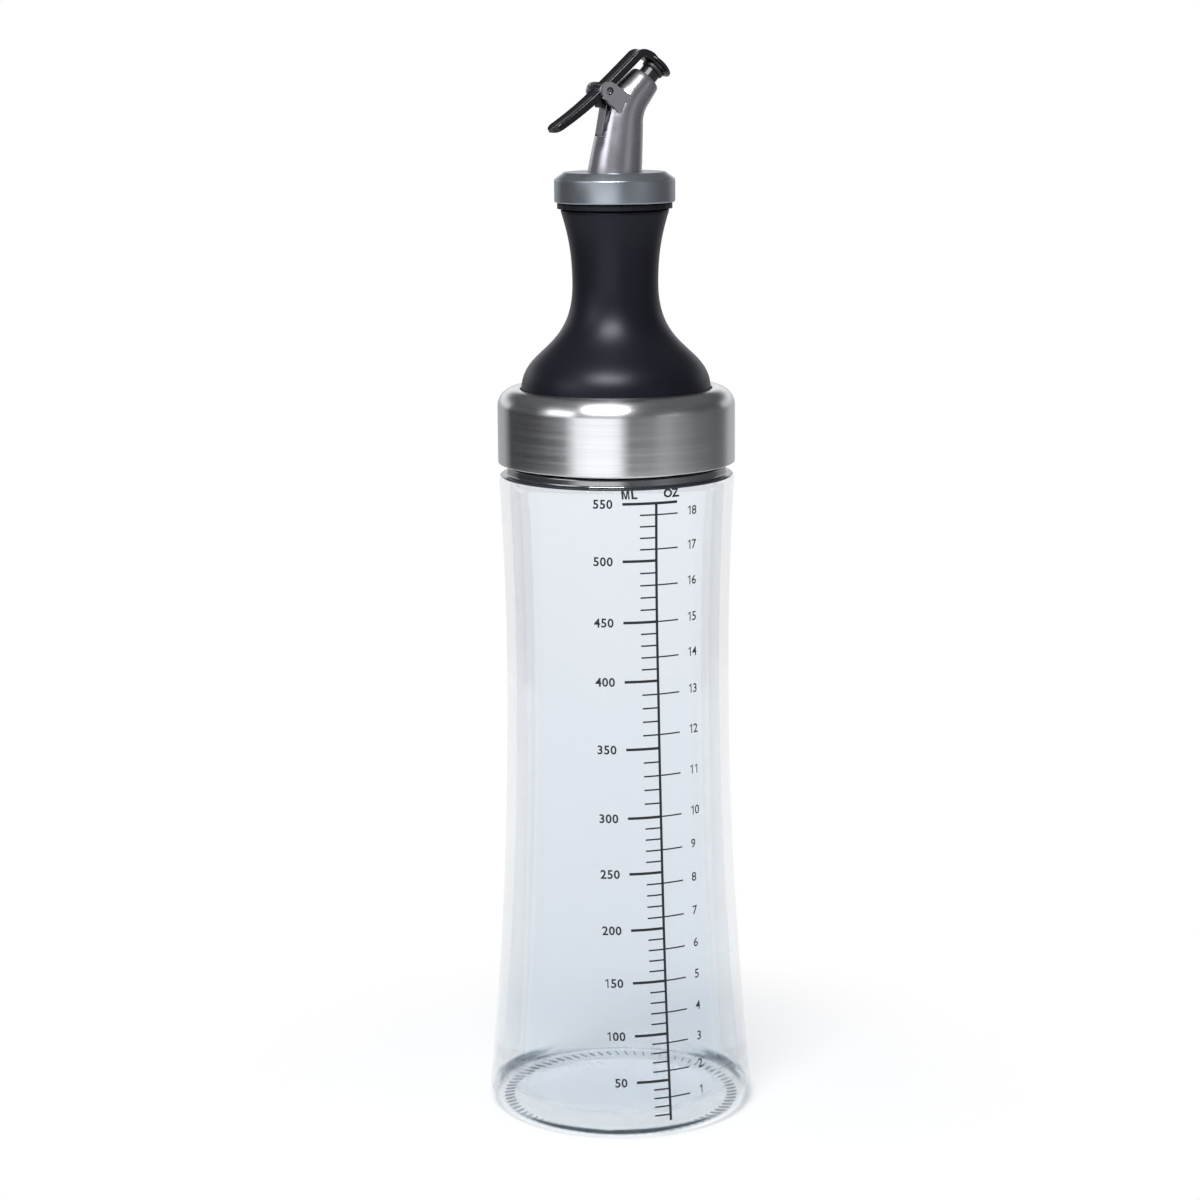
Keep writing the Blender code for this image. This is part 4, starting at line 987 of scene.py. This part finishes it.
def build_spout():
    """Bent tapering spout with two ears, a leaf pocket and a tube bore."""
    spout = spout_shell()
    upper_root = BEND_POINT + UPPER_AXIS * EAR_UPPER_REACH
    lower_root = BEND_POINT - LOWER_AXIS * EAR_LOWER_REACH
    start = ear_heading(upper_root, 1)
    end = ear_heading(lower_root, -1) + 360.0
    outline = arc((PIN_CENTRE.x, PIN_CENTRE.z), EAR_RADIUS, start, end, 28) + flat((lower_root, upper_root))
    for side in (-1.0, 1.0):
        ear = prism(outline, EAR_THICKNESS / 2)
        bmesh.ops.translate(ear, verts=ear.verts, vec=(0.0, side * (EAR_INNER + EAR_THICKNESS / 2), 0.0))
        combine(spout, ear, "UNION")
    low = SPOUT_FOOT + LOWER_AXIS * NOTCH_FOOT
    top = BEND_POINT + LOWER_AXIS * NOTCH_TOP
    back = Vector((-LOWER_AXIS.z, 0.0, LOWER_AXIS.x))
    depth = spout_radius(0.4) - 0.001
    far = back * NOTCH_REACH
    corners = (low + back * depth, low + far, top + far, top + back * (depth - 0.001))
    combine(spout, prism(flat(corners), LEVER_WIDTH / 2), "DIFFERENCE")
    combine(spout, pocket_shape(), "DIFFERENCE")
    combine(spout, cross_pin(PIN_RADIUS + GAP, 0.007), "DIFFERENCE")
    combine(spout, tube_bore(), "DIFFERENCE")
    cavity = [(0.0, SPOUT_BASE - GAP), (CAVITY_RADIUS, SPOUT_BASE - GAP), (CAVITY_RADIUS, RING_TOP)]
    cavity += [(CAVITY_TOP_RADIUS, SPOUT_BASE + CAVITY_HEIGHT), (0.0, SPOUT_BASE + CAVITY_HEIGHT)]
    combine(spout, turned(cavity, 48), "DIFFERENCE")
    soften(spout, 0.00012, 32.0, 50.0)
    piece(spout, "pourer", spout_silver, "spout_body")


def leaf_direction(extra=0.0):
    """The way that the leaf points from its root."""
    return Vector((sin(LEAF_LEAN + extra), 0.0, cos(LEAF_LEAN + extra)))


def pocket_shape():
    """The cut that the leaf bends into, with a blind slot for its root."""
    bent = leaf_direction(LEAF_BEND)
    inward = Vector((bent.z, 0.0, -bent.x))
    rest = leaf_direction()
    outward = Vector((-rest.z, 0.0, rest.x))
    clear = LEAF_THICKNESS / 2 + GAP
    top = LEAF_LENGTH + 4 * GAP
    return prism(flat((
        LEAF_ROOT - rest * POCKET_SLOT + inward * clear,
        LEAF_ROOT + inward * clear,
        LEAF_ROOT + bent * top + inward * clear,
        LEAF_ROOT + rest * top + outward * SPOUT_RADIUS,
        LEAF_ROOT + rest * GAP + outward * SPOUT_RADIUS,
        LEAF_ROOT + rest * GAP + outward * clear,
        LEAF_ROOT - rest * POCKET_SLOT + outward * clear,
    )), 0.0025)


def build_leaf():
    """Spring strip with chamfered corners, narrower at its top."""
    rest = leaf_direction()
    outward = Vector((-rest.z, 0.0, rest.x))
    half = LEAF_THICKNESS / 2
    # Section of the strip: shares of its half width and half thickness
    corners = ((1, -0.6), (0.96, -1), (-0.96, -1), (-1, -0.6), (-1, 0.6), (-0.96, 1), (0.96, 1), (1, 0.6))
    rings = []
    for step in range(17):
        share = step / 16
        end = max(0.0, (share - 0.86) / 0.14)
        width = LEAF_WIDTH / 2 * (1 - 0.22 * end * end)
        middle = LEAF_ROOT + rest * ((LEAF_LENGTH + LEAF_TAIL) * share - LEAF_TAIL)
        rings.append([middle + Vector((0.0, x * width, 0.0)) + outward * (z * half) for x, z in corners])
    piece(smooth_object("leaf_strip", lofted(rings)), "spring", leaf_steel, "leaf_spring")


def build_pin():
    """Pin with lightly domed ends inside the ears."""
    half = EAR_INNER + EAR_THICKNESS - GAP
    ends = ((half, 0.35), (half - 0.00008, 0.7), (half - 0.0002, 1.0))
    rings = [pin_ring(-place, PIN_RADIUS * share) for place, share in ends]
    rings += [pin_ring(place, PIN_RADIUS * share) for place, share in reversed(ends)]
    piece(smooth_object("pin_shaft", lofted(rings), 50.0), "pourer", pin_steel, "lever_pin")


def lever_line():
    """Places, headings, half thicknesses and distances from the thumb end along the lever."""
    up = Vector((-sin(LEVER_SLOPE), 0.0, cos(LEVER_SLOPE)))
    bend = LEVER_CURL / LEVER_BACK
    half = LEVER_THICKNESS / 2
    centre = PIN_CENTRE + up * (LEVER_OFFSET + 1 / bend)
    line = []
    for step in range(LEVER_STEPS + 1):
        share = 1 - step / LEVER_STEPS
        reach = share * (2 - share)
        angle = LEVER_SLOPE - LEVER_CURL * reach
        down = Vector((sin(angle), 0.0, -cos(angle)))
        thin = (LEVER_END_THICKNESS - LEVER_THICKNESS) * reach / 2
        line.append((centre + down / bend, angle, half + thin, LEVER_BACK * (1 - reach)))
    place, angle = line[-1][:2]
    for length, turn, count, end_share in FRONT_ARCS:
        for step in range(count):
            middle = angle + radians(turn) / count / 2
            place = place + Vector((cos(middle), 0.0, sin(middle))) * (length / count)
            angle += radians(turn) / count
            line.append((place, angle, half * (1 + (end_share - 1) * (step + 1) / count), LEVER_BACK))
    return line


def lever_section(place, angle, half, from_end):
    """Section with rounded corners and a shallow channel along the outer face."""
    up = Vector((-sin(angle), 0.0, cos(angle)))
    shrink = 1.0
    if from_end < LEVER_END_ROUND:
        inset = 1 - from_end / LEVER_END_ROUND
        shrink = sqrt(max(0.02, 1 - inset * inset))
    width = LEVER_WIDTH / 2 * (0.35 + 0.65 * shrink)
    tall = half * (0.45 + 0.55 * shrink)
    corner = 0.0006 * shrink
    channel = 0.00026 * shrink
    rim = 0.00085 * shrink
    outline = [(width - rim - 0.0005 * shrink, tall - channel), (width - rim, tall - channel * 0.35)]
    outline += arc((width - corner, tall - corner), corner, 90, 0, 6)
    outline += arc((width - corner, corner - tall), corner, 0, -90, 6)
    outline += [(-across, rise) for across, rise in reversed(outline)]
    return [place + Vector((0.0, across, 0.0)) + up * rise for across, rise in outline]


def about_nozzle(outline, sides, origin):
    """Revolve an outline round the nozzle's axis, from an origin on it."""
    bm = turned(outline, sides)
    matrix = Matrix.Translation(origin) @ Matrix.Rotation(SPOUT_TILT, 4, "Y")
    bmesh.ops.transform(bm, matrix=matrix, verts=bm.verts)
    return bm


def build_lever():
    """Lever with a thumb tab, a pin boss, a lug for the leaf and the nozzle's cap."""
    lever = smooth_object("lever_moulding", lofted([lever_section(*station) for station in lever_line()]))
    combine(lever, cross_pin(BOSS_RADIUS, LEVER_WIDTH / 2 - GAP, 48), "UNION")
    front = PIN_CENTRE.x - 0.0001
    back = front - LUG_THICKNESS
    root = PIN_CENTRE.z - PIN_RADIUS
    tip = PIN_CENTRE.z - LUG_DROP
    lug = [(front, root), (front, tip), (back + LUG_CHAMFER, tip), (back, tip + LUG_CHAMFER), (back, root)]
    combine(lever, prism(lug, 0.002), "UNION")
    cap_place = SPOUT_END + UPPER_AXIS * TUBE_PROUD + UPPER_AXIS * (GAP + SEAL_THICKNESS + GAP)
    cap_top = CAP_FLARE + CAP_DOME
    cap = [(0.0, 0.0), (CAP_FOOT, 0.0)]
    cap += bezier(
        (CAP_FOOT + 0.0002, 0.0002), (CAP_FOOT + 0.0005, 0.0007),
        (CAP_RIM - 0.0001, 0.0007), (CAP_RIM, CAP_FLARE - 0.0002), 8)
    cap += bezier(
        (CAP_RIM, CAP_FLARE), (CAP_RIM, CAP_FLARE + CAP_DOME * 0.6),
        (CAP_RIM * CURVE_PULL, cap_top), (0.0, cap_top), 16)
    combine(lever, about_nozzle(cap + [(0.0, cap_top)], 64, cap_place), "UNION")
    seat = SEAL_RADIUS + GAP
    depth = -SEAL_THICKNESS - 2 * GAP
    socket = [(0.0, depth), (seat, depth), (seat, -GAP / 2)]
    socket += [(0.0024, -GAP / 2), (0.0024, 0.0009), (0.0, 0.0009)]
    combine(lever, about_nozzle(socket, 48, cap_place), "DIFFERENCE")
    combine(lever, cross_pin(PIN_RADIUS + GAP, LEVER_WIDTH), "DIFFERENCE")
    smooth(lever.data, 45.0)
    piece(lever, "lever", lever_black, "lever")


build_ring()
build_spout()
build_leaf()
build_pin()
build_lever()


# Camera, floor and light

CAMERA_AZIMUTH = radians(-27.0)
CAMERA_DISTANCE = 0.8163
CAMERA_HEIGHT = 0.3086
CAMERA_LENS = 86.35
CAMERA_TURN = radians(0.354)
CAMERA_TIP = radians(79.0)
CAMERA_ROLL = radians(-0.45)
TABLE_RADIUS = 0.6
TABLE_DROP = 0.0002
TABLE_COLOUR = (0.68, 0.685, 0.69)
# Distances over which the table turns plain white, and its first share of white
SHADOW_FADE = (0.04, 0.14)
SHADOW_WHITE = 0.25
LAMP_AIM = Vector((0.0, 0.0, 0.2))
# Brightness of the studio in reflections, by degrees to the right of the camera
TABLE_LEVELS = (
    (-140, 0.5), (-124, 0.08), (-98, 0.07), (-76, 0.1), (-62, 0.14), (-52, 0.28), (-46, 0.72),
    (-38, 1.4), (-26, 1.6), (-6, 1.6), (2, 1.4), (9, 0.55), (14, 0.25), (34, 0.3), (44, 0.42), (52, 0.42),
    (60, 0.34), (84, 0.2), (112, 0.15), (126, 0.2), (142, 0.55),
)
WALL_LEVELS = (
    (-132, 1.1), (-124, 0.14), (-84, 0.14), (-76, 0.5), (-68, 1.1), (-46, 1.2), (-38, 0.3),
    (-28, 0.2), (34, 0.22), (46, 0.5), (60, 0.62), (68, 0.3), (86, 0.12), (122, 0.12), (130, 0.8), (180, 1.1),
)
UPPER_LEVELS = ((-84, 0.1), (-76, 0.9), (-68, 3.9), (-48, 4.1), (-40, 0.4), (-30, 0.1))
# Sines of elevation between which each zone fades into the next
WALL_FOOT = (0.0, 0.1)
WALL_TOP_FADE = (0.22, 0.36)
CEILING_FOOT = (0.46, 0.6)
CEILING_COLOUR = (0.15, 0.152, 0.156)
AMBIENT_COLOUR = (0.95, 0.97, 1.0)
AMBIENT_LEVEL = 0.5
WHITE = (1.0, 1.0, 1.0)

camera_data = bpy.data.cameras.new("camera")
camera_data.lens = CAMERA_LENS
camera = add_object("camera", camera_data)
turn = Matrix.Rotation(CAMERA_AZIMUTH + CAMERA_TURN, 4, "Z") @ Matrix.Rotation(CAMERA_TIP, 4, "X")
turn = turn @ Matrix.Rotation(CAMERA_ROLL, 4, "Z")
spot = Vector((sin(CAMERA_AZIMUTH), -cos(CAMERA_AZIMUTH), 0.0)) * CAMERA_DISTANCE
spot.z = CAMERA_HEIGHT
camera.matrix_world = Matrix.Translation(spot) @ turn
scene.camera = camera


def seen_directly(tree):
    """Light path outputs, and 1 for what the camera sees straight or through glass, else 0."""
    rays = add_node(tree, "LightPath", {}).outputs
    return rays, arithmetic("MAXIMUM", rays["Is Camera Ray"], rays["Is Transmission Ray"])


def build_floor():
    """Round white table top that keeps the soft shadow near the bottle."""
    bm = bmesh.new()
    bmesh.ops.create_circle(bm, cap_ends=True, segments=96, radius=TABLE_RADIUS)
    bmesh.ops.translate(bm, verts=bm.verts, vec=(0.0, 0.0, -TABLE_DROP))
    mesh = bpy.data.meshes.new("table_top")
    bm.to_mesh(mesh)
    bm.free()
    floor = add_object("table_top", mesh)
    material = bpy.data.materials.new("table_white")
    tree = empty_tree(material)
    diffuse = add_node(tree, "BsdfDiffuse", {"Color": TABLE_COLOUR})
    light = add_node(tree, "Emission", {"Color": WHITE, "Strength": 1.0})
    place = add_node(tree, "TexCoord", {}).outputs["Object"]
    length = add_node(tree, "VectorMath", {0: place}, operation="LENGTH").outputs["Value"]
    near = spread(length, *SHADOW_FADE, SHADOW_WHITE, 1.0, interpolation_type="SMOOTHSTEP")
    share = arithmetic("MULTIPLY", seen_directly(tree)[1], near)
    surface = mix_shaders(share, diffuse, light)
    add_node(tree, "OutputMaterial", {"Surface": surface.outputs[0]})
    mesh.materials.append(material)


def around_the_camera(turned_share, levels):
    """Brightness by direction, as a share of a full turn, for levels in degrees."""
    stops = [((angle + 180) / 360, (level * 0.985, level, level * 1.03)) for angle, level in levels]
    return colour_ramp(turned_share, stops)


def build_world():
    """White backdrop for the camera and the glass, and a plain studio for reflections."""
    world = bpy.data.worlds.new("studio")
    scene.world = world
    tree = empty_tree(world)
    place = add_node(tree, "TexCoord", {}).outputs["Generated"]
    x, y, rise = add_node(tree, "SeparateXYZ", {0: place}).outputs
    behind = atan2(spot.y, spot.x) - pi
    angle = arithmetic("SUBTRACT", arithmetic("ARCTAN2", y, x), behind)
    share = arithmetic("DIVIDE", arithmetic("FLOORED_MODULO", angle, tau), tau)
    table = around_the_camera(share, TABLE_LEVELS)
    lower = blend_colours(spread(rise, *WALL_FOOT), table, around_the_camera(share, WALL_LEVELS))
    high_wall = around_the_camera(share, UPPER_LEVELS)
    upper = blend_colours(spread(rise, *CEILING_FOOT), high_wall, CEILING_COLOUR)
    upper = blend_colours(spread(rise, *WALL_TOP_FADE), lower, upper)
    studio = add_node(tree, "Background", {"Color": upper})
    plain = add_node(tree, "Background", {"Color": AMBIENT_COLOUR, "Strength": AMBIENT_LEVEL})
    white = add_node(tree, "Background", {"Color": WHITE})
    rays, seen = seen_directly(tree)
    surface = mix_shaders(seen, mix_shaders(rays["Is Glossy Ray"], plain, studio), white)
    add_node(tree, "OutputWorld", {"Surface": surface.outputs[0]})


def key_light(left_of_camera, elevation, distance, size, power):
    """An area lamp aimed at the bottle, placed by its angle left of the camera."""
    azimuth = CAMERA_AZIMUTH - radians(left_of_camera)
    rise = radians(elevation)
    away = Vector((sin(azimuth) * cos(rise), -cos(azimuth) * cos(rise), sin(rise)))
    data = bpy.data.lights.new("key_box", "AREA")
    data.shape = "RECTANGLE"
    data.size, data.size_y = size
    data.energy = power
    lamp = add_object("key_box", data)
    lamp.location = away * distance + LAMP_AIM
    lamp.rotation_euler = (-away).to_track_quat("-Z", "Y").to_euler()
    lamp.visible_camera = False
    lamp.visible_transmission = False


build_floor()
build_world()
key_light(13.0, 51.0, 1.3, (0.7, 0.45), 26.0)

scene.view_settings.view_transform = "Standard"
